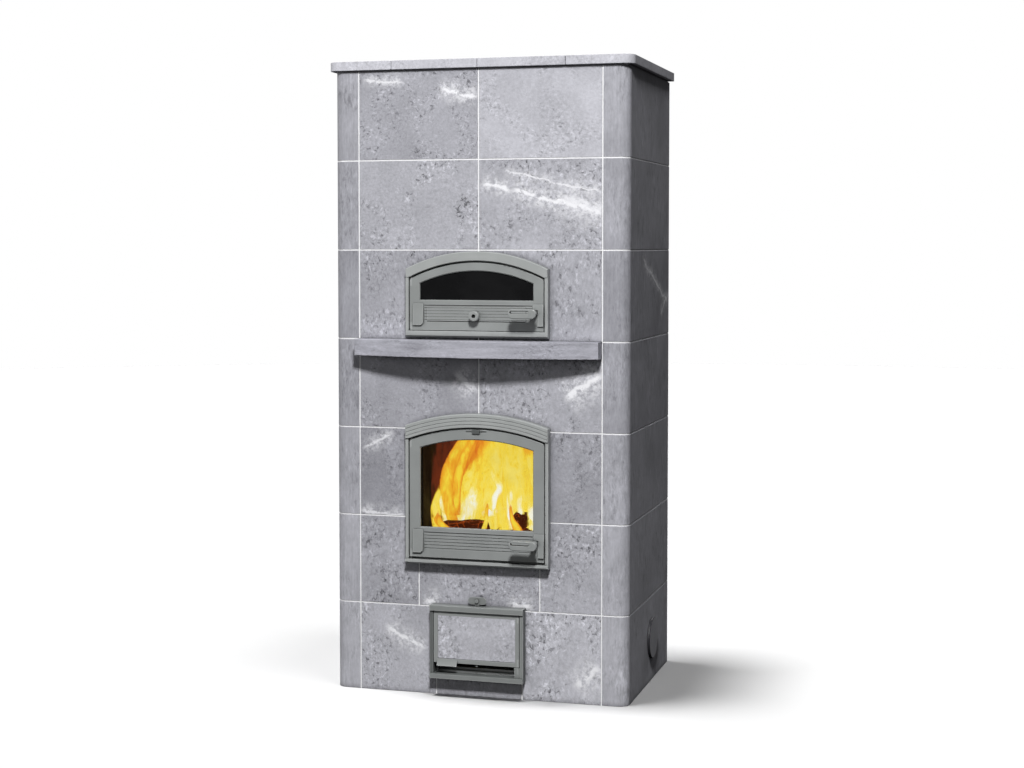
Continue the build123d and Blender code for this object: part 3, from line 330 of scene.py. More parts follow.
def casting(name="door_casting", level=151, roughness=0.42, depth=0.012, murk=0.28, tint=(-3, -1),
            closed=0.5):
    """Painted cast iron: greenish grey, sand-cast, with painted shade in hollows, rubbed at edges.

    depth is how far the painted shade spreads out of a hollow, murk the share of light left there,
    closed how open a place may be and still have all that shade, and tint what red and blue
    differ from green.
    """
    def coat(value):
        return shade(value + tint[0], value, value + tint[1])

    paint = Paint(name, roughness=roughness, specular=0.4)
    skin = paint.noise(900, 3, 0.6)
    patches = paint.noise(14, 3, 0.55)
    colour = paint.mix(paint.span(patches, 0.3, 0.7), coat(level - 3), coat(level + 3))
    colour = paint.mix(paint.span(skin, 0.35, 0.65, 0.0, 0.2), colour, coat(level - 22))
    rubbed = paint.span(paint.hollow(0.003, inside=True), 0.95, 0.55, 0.0, 0.6)
    colour = paint.mix(rubbed, colour, coat(min(level + 34, 235)))
    # Painted shade: darker in hollows and near parts that stand close by.
    painted_shade = paint.span(paint.hollow(depth), closed, 0.98, murk, 1.0)
    paint.colour(paint.vector("MULTIPLY", colour, paint.triple(painted_shade)))
    paint.roughness(paint.span(patches, 0.35, 0.65, roughness - 0.06, roughness + 0.08))
    paint.bump(skin, 0.0002, 0.4)
    return paint


def cover_paint():
    """The sweep cover: stone-coloured paint, with painted shade on the rim round its face."""
    paint = casting("sweep_cover_paint", 176, 0.55, 0.01, 0.4, (0, 6))
    facing = paint.tree.nodes.new("ShaderNodeNewGeometry").outputs["Normal"]
    outward = paint.math("ABSOLUTE", paint.vector("DOT_PRODUCT", facing, (1, 0, 0)))
    face = paint.shader.inputs["Base Color"].links[0].from_socket
    # Painted shade: the rim, whose faces do not look sideways, is painted dark.
    paint.colour(paint.mix(paint.span(outward, 0.9, 0.97), shade(38, 38, 42), face))
    return paint


def plain_metal(name, level, roughness, metallic=1.0):
    """Bare or blackened metal with fine scratches and a little soot."""
    paint = Paint(name, roughness=roughness, metallic=metallic)
    skin = paint.noise(700, 3, 0.6)
    soot = paint.noise(30, 4, 0.6)
    paint.colour(paint.mix(paint.span(soot, 0.35, 0.65), grey(level), grey(level * 0.8)))
    paint.roughness(paint.span(skin, 0.3, 0.7, roughness - 0.08, roughness + 0.12))
    paint.bump(skin, 0.0003, 0.4)
    return paint.material


def firebrick(name, level, soot_level):
    """Pale fired stone, blackened where smoke has passed."""
    paint = Paint(name, roughness=0.9, specular=0.2)
    grit = paint.noise(160, 4, 0.7)
    smoke = paint.noise(6, 4, 0.6)
    stone = paint.mix(paint.span(grit, 0.3, 0.7), shade(level - 8, level - 14, level - 22),
                      shade(level + 16, level + 10, level + 2))
    paint.colour(paint.mix(paint.span(smoke, 0.35, 0.6), stone,
                           shade(soot_level + 4, soot_level, soot_level - 4)))
    paint.bump(grit, 0.0012, 0.7)
    return paint.material


def rope():
    """Braided glass-fibre rope, greyed by use."""
    paint = Paint("sealing_rope", roughness=0.95, specular=0.1)
    braid = paint.cells(480, paint.moved((1, 0.8, 0.8)), "SMOOTH_F1")
    paint.colour(paint.mix(paint.span(braid, 0.1, 0.6), shade(94, 92, 88), shade(47, 46, 44)))
    paint.bump(braid, 0.0012, 0.8)
    return paint.material


def clear_glass():
    paint = Paint("fire_glass", roughness=0.03)
    film = paint.noise(9, 4, 0.6)
    paint.shader.inputs["Transmission Weight"].default_value = 1.0
    paint.colour(paint.mix(paint.span(film, 0.4, 0.7), grey(252), shade(240, 238, 234)))
    return paint.material


def dark_glass():
    """Glass painted dark, as painted shade for the unlit oven behind it, and faintly smoked."""
    paint = Paint("oven_glass", roughness=0.06, specular=0.3)
    film = paint.noise(12, 4, 0.6)
    paint.colour(paint.mix(paint.span(film, 0.35, 0.7), grey(20, 1), grey(26, 1)))
    paint.roughness(paint.span(film, 0.3, 0.7, 0.05, 0.14))
    return paint.material


# ---- The material of each piece ----------------------------------------------------------------
stones = {
    "front_slab_1_left": soapstone("stone_1_left", 180, 1, 1.0, 0.8, 0.2, [
        Vein((-0.280, 0.184), (-0.160, 0.126), 0.010, 1.0)]),
    "front_slab_1_right": soapstone("stone_1_right", 188, 2, 1.2, 0.75, -0.2, [
        Vein((0.279, 0.045), (0.356, 0.106), 0.016, 1.0)]),
    "front_slab_1_sill": soapstone("stone_1_sill", 172, 3, 0.8),
    "front_slab_2_left": soapstone("stone_2_left", 168, 4, 1.1, 0.8, 0.2),
    "front_slab_2_centre": soapstone("stone_2_centre", 170, 5, 1.0, 0.9, 0.0, [
        Vein((-0.165, 0.266), (-0.110, 0.262), 0.012, 1.0),
        Vein((0.085, 0.264), (0.158, 0.264), 0.010, 1.0)]),
    "front_slab_2_right": soapstone("stone_2_right", 175, 6, 1.1, 0.85, -0.2),
    "front_slab_3_left": soapstone("stone_3_left", 155, 7, 0.6, 0.9, 0.0, [
        Vein((-0.341, 0.693), (-0.256, 0.747), 0.008),
        Vein((-0.356, 0.520), (-0.220, 0.509), 0.008)]),
    "front_slab_3_right": soapstone("stone_3_right", 164, 8, 0.9, 0.9),
    "front_slab_4_left": soapstone("stone_4_left", 163, 9, 0.8, 1.0, 0.0, [
        Vein((-0.070, 0.917), (-0.002, 0.868), 0.014)]),
    "front_slab_4_right": soapstone("stone_4_right", 173, 10, 1.0, 0.85, 0.0, [
        Vein((0.250, 0.852), (0.358, 0.919), 0.016, 1.0)]),
    "front_slab_5_left": soapstone("stone_5_left", 168, 11, 1.1, 0.7, -0.2),
    "front_slab_5_right": soapstone("stone_5_right", 170, 12, 1.0, 0.6, 0.4),
}
corner_look = dict(grain=0.45, upright=0.3, streaks=0.35)
top_stones = [
    soapstone("stone_6_left", 178, 13, 1.1, 1.0),
    soapstone("stone_6_right", 175, 14, 1.0, 1.0, 0.2, [
        Vein((0.007, 1.447), (0.097, 1.430), 0.008, 1.0),
        Vein((0.097, 1.430), (0.358, 1.365), 0.010, 1.0),
        Vein((0.236, 1.410), (0.365, 1.372), 0.020, 0.7),
        Vein((0.077, 1.486), (0.350, 1.423), 0.005, 0.8)]),
    soapstone("stone_7_left", 165, 15, 1.0, 1.1, 0.0, [
        Vein((-0.341, 1.748), (-0.220, 1.734), 0.006),
        Vein((-0.115, 1.714), (0.001, 1.692), 0.009, 1.0)]),
    soapstone("stone_7_right", 186, 16, 0.6, 1.2),
]
side_veins = [
    Vein((front + 0.442, 1.362), (front + 0.294, 1.289), 0.006),
    Vein((front + 0.181, 1.238), (front + 0.552, 1.104), 0.006),
    Vein((front + 0.442, 1.078), (front + 0.567, 1.134), 0.006),
]
side_levels = 184, 176, 168, 160, 156, 163, 168     # from the floor up
VEINED_COURSES = 4, 5
side_stones = [soapstone(f"stone_side_{number}", level, 20 + number, tilt=0.1, side_on=True,
                         veins=side_veins if number in VEINED_COURSES else (), **corner_look)
               for number, level in enumerate(side_levels, 1)]
BACK_LEVEL = 172
back_stones = [soapstone(f"stone_back_{number}", BACK_LEVEL, 30 + number, 0.8, 0.6)
               for number in range(1, len(side_levels) + 1)]
cover_stone = soapstone("stone_cover", 196, 41, 0.3, 1.0)
shelf_stone = soapstone("stone_shelf", 172, 42, 0.5, 2.5, streaks=0.9, streak_scale=70,
                        streak_stretch=(0.1, 1, 1.2), blue=9)
insert_stone = soapstone("stone_insert", 188, 43, 1.0, 0.9)

cast_paint = casting().material
cast_handle = casting("handle_paint", 154, 0.32, 0.010, 0.2, closed=0.55).material
# Painted light: the frames are painted lighter than the leaves of the same casting.
frame_paint = casting("frame_paint", 170, 0.42, 0.03, 0.4, closed=0.45).material
# Painted shadow inside the slots of the handles' loops.
shadow_paint = casting("handle_slot_shadow_paint", 58, 0.6).material
# Painted light: the deep recess below the ash door's leaf is painted pale.
recess_lit_paint = casting("ash_recess_lit_paint", 180, 0.8, 0.01, 0.9).material
# Painted shade: a darker casting for faces that look to the right, and for the ash door's ledge and
# left strip.
shaded_side_paint = casting("casting_shaded_side_paint", 104, 0.5, 0.03, 0.6, closed=0.45).material
slide_paint = casting("slide_paint", 92, 0.5).material
tab_paint = casting("tab_paint", 132, 0.5).material
ash_frame_paint = casting("ash_frame_paint", 140, 0.45, 0.03, 0.4, closed=0.45).material
raw_iron = plain_metal("raw_iron", 70, 0.6)
steel = plain_metal("plain_steel", 150, 0.35)
pan_metal = plain_metal("pan_metal", 40, 0.55, metallic=0.3)
cover_metal = cover_paint().material
core_brick = firebrick("core_brick", 190, 150)
fire_brick = firebrick("fire_brick", 60, 16)
oven_brick = firebrick("oven_brick", 130, 34)

plain_paints = {
    "joint_mortar": mortar(),
    "core_stone": core_brick,
    "door_casting": cast_paint,
    "raw_cast_iron": raw_iron,
    "plain_steel": steel,
    "pan_steel": pan_metal,
    "sweep_cover_metal": cover_metal,
    "sealing_rope": rope(),
    "door_glass": clear_glass(),
}
special_paints = {
    "oven_door_glass": dark_glass(),
    "firebox_lining": fire_brick,
    "hearth_slab": fire_brick,
    "oven_lining": oven_brick,
    "oven_floor": oven_brick,
    "shelf": shelf_stone,
    "fire_air_slide": slide_paint,
    "ash_air_slide": tab_paint,
    "ash_door_insert": insert_stone,
    **{f"cover_slab_{number}": cover_stone for number in range(1, 5)},
    **stones,
}


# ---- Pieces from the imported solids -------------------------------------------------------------
def islands(mesh):
    """The separate solids of a mesh, each a list of faces."""
    left, found = set(mesh.faces), []
    while left:
        grow, solid = [left.pop()], []
        while grow:
            face = grow.pop()
            solid.append(face)
            for edge in face.edges:
                for other in edge.link_faces:
                    if other in left:
                        left.remove(other)
                        grow.append(other)
        found.append(solid)
    return found


def dressed(node, paints, edge, choose=None, choose_face=None):
    """A piece that stands for a node, with its flat faces joined and its edges softly broken.

    choose picks the number of the paint for each solid from the solid's centre, and choose_face
    picks it for each face.
    """
    mesh = bmesh.new()
    mesh.from_mesh(nodes[node].data)
    bmesh.ops.remove_doubles(mesh, verts=mesh.verts, dist=SAME_POINT)
    bmesh.ops.dissolve_limit(mesh, angle_limit=FLAT_ANGLE, verts=mesh.verts, edges=mesh.edges)
    if choose:
        for solid in islands(mesh):
            middle = sum((face.calc_center_median() for face in solid), Vector()) / len(solid)
            for face in solid:
                face.material_index = choose(middle)
    for face in mesh.faces:
        face.smooth = any(CURVE_ANGLE < e.calc_face_angle(0.0) < SHARP_ANGLE for e in face.edges)
    worked = [e for e in mesh.edges
              if len(e.link_faces) == 2 and e.calc_face_angle(0.0) > SHARP_ANGLE]
    if edge and worked:
        broken = bmesh.ops.bevel(mesh, geom=worked, offset=edge, offset_type="OFFSET",
                                 segments=2, profile=0.5, affect="EDGES", clamp_overlap=True)
        for face in broken["faces"]:
            face.smooth = True
    if choose_face:
        mesh.normal_update()
        for face in mesh.faces:
            face.material_index = choose_face(face)
    data = bpy.data.meshes.new(node + "_piece")
    mesh.to_mesh(data)
    mesh.free()
    data.set_sharp_from_angle(angle=SHADING_ANGLE)
    piece = bpy.data.objects.new(node + "_piece", data)
    bpy.context.scene.collection.objects.link(piece)
    for paint in paints:
        data.materials.append(paint)
    modifier = piece.modifiers.new("even shading", "WEIGHTED_NORMAL")
    modifier.keep_sharp = True
    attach(piece, body_of[node])
    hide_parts(node)
    return piece


def in_slot(face):
    """Whether a face of a handle lies inside the slot of its loop."""
    middle = face.calc_center_median()
    return int(any(all(low[i] - SLOT_MARGIN < middle[i] < high[i] + SLOT_MARGIN for i in range(3))
                   for low, high in slots) and abs(face.normal.y) < SLOT_FACING)


def to_the_right(face):
    """Whether a face looks to the right."""
    return int(face.normal.x > FACING)


def ash_frame_look(face):
    """The number of the paint of a face of the ash door's frame.

    It is 2 in the recess below the leaf, which is painted light, 1 on the recess's ledge, on the
    strip left of the leaf and on the right side, which are painted shade, and 0 elsewhere.
    """
    middle = face.calc_center_median()
    below = middle.z < ash_leaf_low_corner.z
    beside = (middle.x < ash_leaf_low_corner.x and
              ash_leaf_low_corner.z < middle.z < ash_leaf_high_corner.z)
    if below and middle.y > front - RECESS_REACH:
        return 2
    return int(face.normal.x > FACING or (below and face.normal.z > FACING) or
               (beside and face.normal.y < -FACING))


def course_index(middle):
    """The course of a stone, counted from 0 at the floor."""
    return min(len(side_levels) - 1, int(middle.z / course_pitch))


def top_index(middle):
    """The number in top_stones of a stone in the two top courses, from its middle."""
    return 2 * (course_index(middle) - 5) + (middle.x > 0)


for node in nodes:
    if node == "front_slabs_top":
        dressed(node, top_stones, STONE_EDGE, top_index)
    elif node.startswith("side_slab"):
        dressed(node, side_stones, STONE_EDGE, course_index)
    elif node == "back_slabs":
        dressed(node, back_stones, STONE_EDGE, course_index)
    elif slot_of[node] == "soapstone":
        dressed(node, [special_paints[node]], STONE_EDGE)
    elif slot_of[node] in ("joint_mortar", "core_stone", "sealing_rope", "door_glass"):
        dressed(node, [special_paints.get(node, plain_paints[slot_of[node]])], 0)
    elif node == "ash_door_frame":
        dressed(node, [ash_frame_paint, shaded_side_paint, recess_lit_paint], CASTING_EDGE,
                choose_face=ash_frame_look)
    # The frames get painted light, and their faces that look to the right get the darker door
    # casting as painted shade.
    elif node in ("fire_door_frame", "oven_door_frame"):
        dressed(node, [frame_paint, cast_paint], CASTING_EDGE, choose_face=to_the_right)
    elif slot_of[node] == "handle_metal":
        dressed(node, [cast_handle, shadow_paint], CASTING_EDGE, choose_face=in_slot)
    else:
        dressed(node, [special_paints.get(node, plain_paints[slot_of[node]])], CASTING_EDGE)


# ---- Stage: floor, fire, light, camera ---------------------------------------------------------
def stage_mesh(name, vertices, faces, material, smooth=False):
    data = bpy.data.meshes.new(name)
    data.from_pydata(vertices, [], faces)
    data.materials.append(material)
    data.polygons.foreach_set("use_smooth", [smooth] * len(faces))
    thing = bpy.data.objects.new(name, data)
    bpy.context.scene.collection.objects.link(thing)
    return thing


FLOOR_SEEN, FLOOR_THROWN = 0.9, 0.03                # its share of light to the eye, to the stove


def floor_paint():
    """White to the eye, and darker to the light that it throws back at the stove."""
    paint = Paint("floor", roughness=1.0, specular=0.0)
    tree = paint.tree
    seen_part = tree.nodes.new("ShaderNodeBsdfDiffuse")
    seen_part.inputs["Color"].default_value = (*[FLOOR_SEEN] * 3, 1)
    thrown = tree.nodes.new("ShaderNodeBsdfDiffuse")
    thrown.inputs["Color"].default_value = (*[FLOOR_THROWN] * 3, 1)
    mix = tree.nodes.new("ShaderNodeMixShader")
    tree.links.new(tree.nodes.new("ShaderNodeLightPath").outputs["Is Camera Ray"], mix.inputs[0])
    tree.links.new(thrown.outputs[0], mix.inputs[1])
    tree.links.new(seen_part.outputs[0], mix.inputs[2])
    tree.links.new(mix.outputs[0], tree.nodes["Material Output"].inputs["Surface"])
    return paint.material


FLOOR_RADIUS, FLOOR_CORNERS = 14.0, 64
rim = [(FLOOR_RADIUS * math.cos(corner * math.tau / FLOOR_CORNERS),
        FLOOR_RADIUS * math.sin(corner * math.tau / FLOOR_CORNERS), 0)
       for corner in range(FLOOR_CORNERS)]
floor = stage_mesh("floor", rim, [list(range(FLOOR_CORNERS))], floor_paint())


def seen(px, py, y):
    """The place at depth y that the photograph shows at a pixel, counted from its top left."""
    ray = Vector(((px - PICTURE_WIDTH / 2) / PICTURE_WIDTH,
                  (PICTURE_HEIGHT / 2 - py) / PICTURE_WIDTH + CAMERA_SHIFT,
                  -CAMERA_LENS / SENSOR_WIDTH))
    ray.rotate(Euler((math.radians(90) - CAMERA_TILT, 0, CAMERA_TURN)))
    return Vector(CAMERA_PLACE) + ray * ((y - CAMERA_PLACE[1]) / ray.y)


def flame_paint(name, edge, body, heart, soft, fullness=1.0):
    """A flame that shines by itself and fades to nothing at its sides and its tip.

    soft is the heat from which it hides what lies behind, and fullness how much it hides there.
    """
    paint = Paint(name)
    tree = paint.tree
    attribute = tree.nodes.new("ShaderNodeAttribute")
    attribute.attribute_name = "sheet"
    parts = tree.nodes.new("ShaderNodeSeparateXYZ")
    tree.links.new(attribute.outputs["Vector"], parts.inputs[0])
    across, along, seed = parts.outputs
    place = paint.vector("ADD", paint.moved((1, 1, 0.4)), paint.triple(seed))
    wisps = paint.span(paint.noise(26, 4, 0.6, place, 1.8), 0.33, 0.67)
    threads = paint.span(paint.noise(75, 3, 0.6, place, 1.2), 0.33, 0.67)
    middle = paint.math("SUBTRACT", 1.0, paint.times(across, across))
    ends = paint.times(paint.span(along, 0.55, 1.0, 1.0, 0.0), paint.span(along, 0, 0.1, 0.5, 1.0))
    heat = paint.times(middle, ends, paint.total(0.24, paint.times(wisps, 0.62),
                                                 paint.times(threads, 0.24)))
    share = paint.times(paint.span(heat, 0.03, soft), fullness)
    glow = tree.nodes.new("ShaderNodeEmission")
    tree.links.new(paint.ramp(heat, (0.08, edge), (0.34, body), (0.85, heart)), glow.inputs[0])
    mix = tree.nodes.new("ShaderNodeMixShader")
    tree.links.new(share, mix.inputs[0])
    tree.links.new(tree.nodes.new("ShaderNodeBsdfTransparent").outputs[0], mix.inputs[1])
    tree.links.new(glow.outputs[0], mix.inputs[2])
    tree.links.new(mix.outputs[0], tree.nodes["Material Output"].inputs["Surface"])
    paint.material.cycles.emission_sampling = "NONE"
    return paint.material


def flowing(points, steps):
    """Points on a smooth curve through the given ones."""
    ends = [2 * points[0] - points[1], *points, 2 * points[-1] - points[-2]]
    for before, here, after, beyond in zip(ends, ends[1:], ends[2:], ends[3:]):
        for step in range(steps):
            t = step / steps
            yield (here + (after - before) * (t / 2)
                   + (before * 2 - here * 5 + after * 4 - beyond) * (t * t / 2)
                   + (here * 3 - before - after * 3 + beyond) * (t ** 3 / 2))
    yield points[-1]


FLAME_STEPS, FLAME_SIDES = 6, 8                     # from point to point, and across
FLAME_BULGE, MOST_BULGE = 0.0008, 0.014             # metres to a pixel of width, and at most
LEAST_WIDTH = 0.3


def flame(name, paint, y, *points):
    """A sheet of flame that bulges to the front, along points (px, py, width) of the photo."""
    line = list(flowing([Vector(point) for point in points], FLAME_STEPS))
    seed = (len(name) * 7 + ord(name[-1])) % 13     # each flame has its own place in the noise
    vertices, marks = [], []
    for number, (px, py, width) in enumerate(line):
        ahead = line[min(number + 1, len(line) - 1)] - line[max(number - 1, 0)]
        length = math.hypot(ahead.x, ahead.y) or 1.0
        for side in range(FLAME_SIDES + 1):
            t = 2 * side / FLAME_SIDES - 1
            reach = t * max(width, LEAST_WIDTH) / 2
            bulge = min(FLAME_BULGE * width, MOST_BULGE) * (1 - t * t)
            vertices.append(seen(px - ahead.y / length * reach, py + ahead.x / length * reach,
                                 y - bulge))
            marks.append((abs(t), number / (len(line) - 1), seed, 1))
    row = FLAME_SIDES + 1
    faces = [(a, a + 1, a + 1 + row, a + row)
             for a in range(row * (len(line) - 1)) if a % row < FLAME_SIDES]
    sheet = stage_mesh(name, vertices, faces, paint, True)
    layer = sheet.data.color_attributes.new("sheet", "FLOAT_COLOR", "POINT")
    for point, mark in zip(layer.data, marks):
        point.color = mark


# The fire and its logs are loose contents of the stove, not pieces of it.
EMBER, RED, RUST = shade(58, 26, 16), shade(150, 52, 18), shade(112, 46, 22)
ORANGE, AMBER, YELLOW = shade(228, 122, 34), shade(246, 176, 44), shade(253, 222, 66)
CREAM, WHITE = shade(255, 234, 110), shade(255, 255, 236)
glow_paint = flame_paint("flame_glow", EMBER, shade(92, 38, 20), RUST, 0.45, 0.85)
outer_paint = flame_paint("flame_outer", RED, ORANGE, AMBER, 0.25)
sheet_paint = flame_paint("flame_sheet", ORANGE, AMBER, shade(251, 190, 66), 0.25)
body_paint = flame_paint("flame_body", AMBER, YELLOW, CREAM, 0.45)
tip_paint = flame_paint("flame_tip", ORANGE, AMBER, YELLOW, 0.2)
core_paint = flame_paint("flame_core", YELLOW, CREAM, WHITE, 0.45)

flame("fire_glow_a", glow_paint, -0.145, (440, 545, 26), (440, 500, 26), (443, 465, 26),
      (450, 440, 30), (456, 410, 36), (458, 380, 36))
flame("fire_glow_b", glow_paint, 0.03, (466, 500, 60), (474, 450, 70), (484, 410, 70),
      (490, 370, 60), (492, 330, 50))
flame("fire_outer_a", outer_paint, -0.01, (458, 540, 36), (456, 505, 30), (458, 475, 28),
      (466, 450, 30), (480, 420, 36), (490, 385, 36), (494, 350, 30))
flame("fire_outer_b", outer_paint, -0.012, (500, 545, 92), (500, 490, 96), (504, 455, 92),
      (512, 420, 90), (518, 380, 90), (520, 340, 80))
flame("fire_outer_c", outer_paint, -0.014, (530, 545, 50), (532, 490, 50), (532, 450, 50),
      (534, 410, 50), (536, 370, 50), (536, 330, 40))
flame("fire_sheet_a", sheet_paint, -0.03, (488, 545, 70), (486, 500, 66), (492, 470, 52),
      (503, 440, 40), (510, 410, 34), (514, 370, 30), (516, 330, 24))
flame("fire_sheet_b", sheet_paint, -0.034, (516, 545, 60), (516, 500, 62), (515, 470, 58),
      (516, 440, 52), (520, 410, 46), (524, 370, 40), (528, 330, 30))
flame("fire_sheet_c", sheet_paint, -0.032, (532, 545, 44), (532, 500, 44), (532, 470, 34),
      (534, 445, 18), (538, 425, 8))
flame("fire_body_a", body_paint, -0.05, (470, 545, 38), (470, 508, 38), (472, 484, 28),
      (478, 464, 16), (484, 444, 6))
flame("fire_body_b", body_paint, -0.055, (492, 545, 44), (490, 505, 46), (493, 474, 40),
      (499, 448, 32), (506, 425, 22), (510, 395, 14))
flame("fire_body_c", body_paint, -0.06, (518, 545, 42), (518, 503, 42), (516, 475, 36),
      (513, 450, 26), (516, 425, 14), (518, 400, 8))
flame("fire_body_d", body_paint, -0.052, (534, 545, 30), (532, 505, 30), (531, 475, 22),
      (529, 455, 14), (530, 432, 6))
flame("fire_tip_a", body_paint, -0.165, (437, 531, 9), (436, 510, 12), (438, 497, 9),
      (442, 478, 3))
flame("fire_tip_b", tip_paint, -0.168, (453, 530, 6), (444, 527, 9), (437, 520, 9), (438, 506, 6))
flame("fire_tip_c", tip_paint, -0.16, (454, 530, 16), (448, 502, 15), (447, 480, 15),
      (452, 462, 14), (460, 447, 12), (470, 431, 11), (480, 411, 9), (486, 390, 6))
flame("fire_tip_d", tip_paint, -0.158, (457, 515, 9), (456, 490, 11), (460, 468, 11),
      (467, 450, 10), (476, 430, 8), (482, 405, 5))
flame("fire_tip_e", tip_paint, -0.16, (484, 532, 6), (486, 518, 5), (488, 500, 2))
flame("fire_tip_f", body_paint, -0.16, (506, 540, 16), (503, 520, 13), (500, 505, 9),
      (501, 484, 3))
flame("fire_tip_g", body_paint, -0.16, (478, 540, 10), (481, 526, 9), (485, 512, 7), (486, 490, 3))
flame("fire_tip_h", tip_paint, -0.16, (520, 540, 12), (518, 530, 10), (512, 518, 5), (510, 500, 3))
flame("fire_tip_i", tip_paint, -0.225, (452, 531, 5), (446, 528, 7), (440, 522, 7), (439, 512, 4))
flame("fire_tip_j", body_paint, -0.228, (483, 532, 6), (486, 522, 5), (488, 508, 2))
flame("fire_core_a", core_paint, -0.17, (447, 526, 5), (443, 512, 6), (441, 500, 5), (441, 486, 3))
flame("fire_core_b", core_paint, -0.11, (462, 526, 20), (469, 508, 22), (474, 492, 14),
      (477, 474, 6))
flame("fire_core_c", core_paint, -0.11, (492, 514, 7), (495, 498, 9), (500, 487, 9), (493, 474, 8),
      (489, 458, 5))
flame("fire_core_d", core_paint, -0.11, (509, 534, 11), (510, 510, 10), (510, 494, 8),
      (510, 478, 4))
flame("fire_core_e", core_paint, -0.11, (521, 518, 9), (520, 503, 10), (523, 484, 6))
flame("fire_core_f", core_paint, -0.11, (533, 545, 12), (532, 515, 12), (531, 494, 6))
flame("fire_core_g", core_paint, -0.108, (482, 514, 8), (494, 512, 11), (504, 509, 11),
      (514, 507, 7))


def log_paint():
    """Charred wood, cracked into blocks, with embers glowing in the cracks."""
    paint = Paint("charred_log", roughness=0.95, specular=0.1)
    cracks = paint.cells(46, paint.moved((1, 1, 1.4)), "DISTANCE_TO_EDGE")
    ash = paint.noise(60, 4, 0.7)
    heat = paint.times(paint.span(cracks, 0.05, 0.0), paint.span(paint.noise(24, 3), 0.48, 0.62))
    paint.colour(paint.mix(paint.span(ash, 0.5, 0.75, 0.0, 0.6), shade(38, 22, 16),
                           shade(104, 62, 42)))
    paint.put(paint.shader.inputs["Emission Color"], shade(255, 110, 30))
    # Painted light: a faint even glow over the whole log, with more from the embers in the cracks.
    paint.put(paint.shader.inputs["Emission Strength"],
              paint.total(0.05, paint.times(heat, 0.55)))
    paint.bump(cracks, 0.004, 0.8)
    return paint.material


LOG_AROUND, LOG_ROWS = 28, 24
LOG_TAPER = 0.35                                    # at both ends
LOG_ROUGHNESS, LOG_ROUGH_SCALE = 0.16, 30


def log(name, start, end, radius, paint, split=0.0):
    """A rough log from one point to another. split makes it squarer, like split wood."""
    start, end = Vector(start), Vector(end)
    axis = (end - start).normalized()
    up = Vector((0, 0, 1)) - axis * axis.z
    up.normalize()
    side = axis.cross(up)
    around, rows = LOG_AROUND, LOG_ROWS
    vertices = []
    for number in range(rows + 1):
        share = number / rows
        middle = start.lerp(end, share)
        taper = 1 - LOG_TAPER * abs(2 * share - 1) ** 14
        for step in range(around):
            turn = step * math.tau / around
            out = up * math.sin(turn) + side * math.cos(turn)
            rough = 1 + LOG_ROUGHNESS * noise.noise((middle + out * radius) * LOG_ROUGH_SCALE)
            rough *= 1 + split * (abs(math.sin(2 * turn + 0.5)) - 0.6)
            vertices.append(middle + out * (radius * taper * rough))
    faces = [(a, a - a % around + (a + 1) % around, a - a % around + (a + 1) % around + around,
              a + around) for a in range(around * rows)]
    faces += [list(range(around))[::-1], list(range(around * rows, around * (rows + 1)))]
    return stage_mesh(name, vertices, faces, paint, True)


charred = log_paint()
LOG, LOW_LOG, BRANCH = 0.044, 0.030, 0.023          # radii of the logs
grate_top = hearth_top + 0.001
low_middle = grate_top + LOW_LOG
end_middle = grate_top + 2 * LOW_LOG + BRANCH       # it lies on the low logs
log("log_front", (-0.146, -0.178, grate_top + LOG), (-0.006, -0.172, grate_top + LOG), LOG,
    charred)
log("log_back", (-0.12, 0.0, low_middle), (0.16, 0.01, low_middle), LOW_LOG, charred)
log("log_low", (0.0, -0.11, low_middle), (0.165, -0.10, low_middle), LOW_LOG, charred)
log("log_end", (0.074, -0.14, end_middle), (0.066, 0.03, end_middle), BRANCH, charred, 0.35)


def linked(light, things, state):
    """Lets a lamp light only these things (state INCLUDE), or everything but them (EXCLUDE)."""
    group = bpy.data.collections.new(light.name + "_group")
    for thing in things:
        group.objects.link(thing)
    for member in group.collection_objects:
        member.light_linking.link_state = state
    light.light_linking.receiver_collection = group


def lamp(name, kind, energy):
    light = bpy.data.lights.new(name, kind)
    light.energy = energy
    thing = bpy.data.objects.new(name, light)
    bpy.context.scene.collection.objects.link(thing)
    return thing


def sun(name, strength, azimuth, elevation, softness):
    """Light from a direction: azimuth 0 is from straight in front, positive from the right."""
    thing = lamp(name, "SUN", strength)
    thing.data.angle = math.radians(softness)
    a, e = math.radians(azimuth), math.radians(elevation)
    towards = Vector((math.sin(a) * math.cos(e), -math.cos(a) * math.cos(e), math.sin(e)))
    thing.rotation_mode = "QUATERNION"
    thing.rotation_quaternion = towards.to_track_quat("Z", "Y")
    return thing


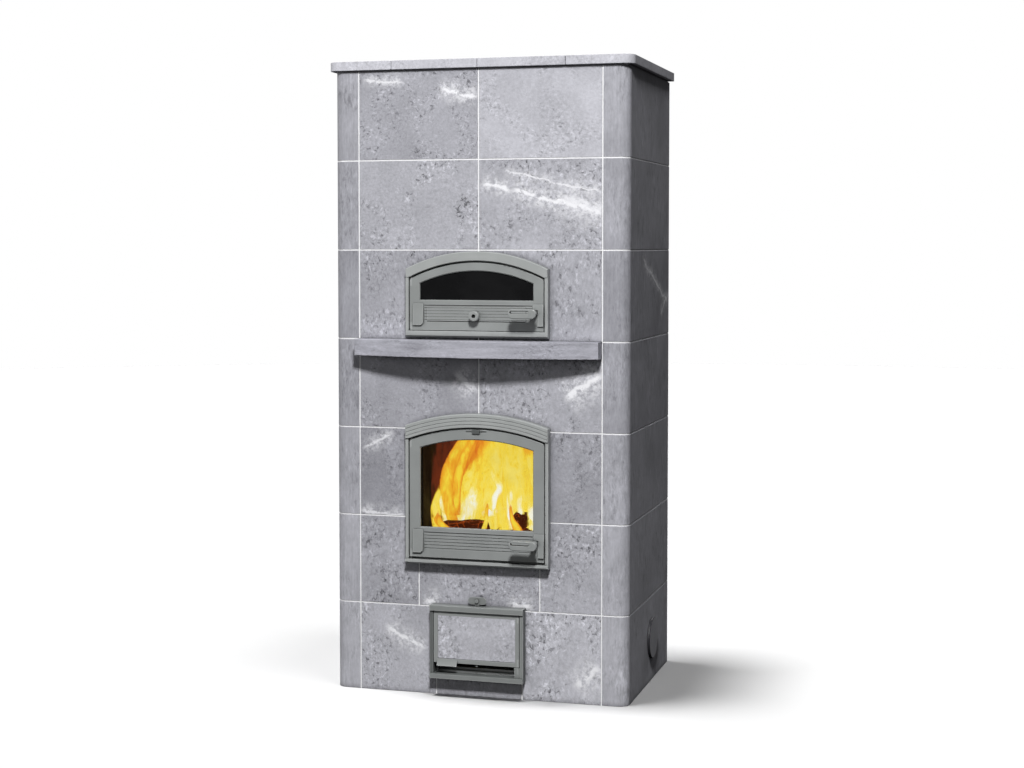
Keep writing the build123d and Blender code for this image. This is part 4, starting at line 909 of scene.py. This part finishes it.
KEY_STRENGTH = 1.12                                 # as of a sun, at any distance
key = lamp("key", "POINT", 4 * math.pi ** 2 * KEY_STRENGTH)
key.location = (0.81, -2.65, 3.05)
key.data.shadow_soft_size = 0.25
key.data.use_nodes = True
key_nodes = key.data.node_tree
even = key_nodes.nodes.new("ShaderNodeLightFalloff")
even.inputs["Strength"].default_value = 1.0
key_nodes.links.new(even.outputs["Constant"], key_nodes.nodes["Emission"].inputs["Strength"])
linked(key, [floor], "EXCLUDE")
for sun_values in (("fill", 0.8, -52, 0, 36), ("back", 2.4, 186, 38, 30),
                   ("left", 1.1, -105, 20, 30)):
    linked(sun(*sun_values), [floor], "EXCLUDE")
for sun_values in (("wash", 0.05, 0, 90, 5), ("floor_light", 2.70, -72, 81, 12),
                   ("floor_light_right", 0.66, 62, 77, 12)):
    linked(sun(*sun_values), [floor], "INCLUDE")

fire_light = lamp("fire_light", "POINT", 0.22)
fire_light.location = (0.02, -0.10, 0.60)
fire_light.data.color = (1.0, 0.45, 0.15)
fire_light.data.shadow_soft_size = 0.06
fire_light.visible_transmission = False
fire_light.visible_camera = False

AMBIENT = 0.055                                     # on the object, under a white background
world = bpy.data.worlds.new("studio")
bpy.context.scene.world = world
world.use_nodes = True
sky = world.node_tree
ground = sky.nodes["Background"]
ground.inputs["Color"].default_value = (1, 1, 1, 1)
path = sky.nodes.new("ShaderNodeLightPath")
level = sky.nodes.new("ShaderNodeMapRange")
level.inputs["To Min"].default_value = AMBIENT
level.inputs["To Max"].default_value = 1.0
sky.links.new(path.outputs["Is Camera Ray"], level.inputs["Value"])
sky.links.new(level.outputs["Result"], ground.inputs["Strength"])

bpy.context.scene.view_settings.view_transform = "Standard"

camera = bpy.data.objects.new("camera", bpy.data.cameras.new("camera"))
bpy.context.scene.collection.objects.link(camera)
camera.location = CAMERA_PLACE
camera.rotation_euler = (math.radians(90) - CAMERA_TILT, 0, CAMERA_TURN)
camera.data.lens = CAMERA_LENS
camera.data.sensor_width = SENSOR_WIDTH
camera.data.shift_y = CAMERA_SHIFT
bpy.context.scene.camera = camera
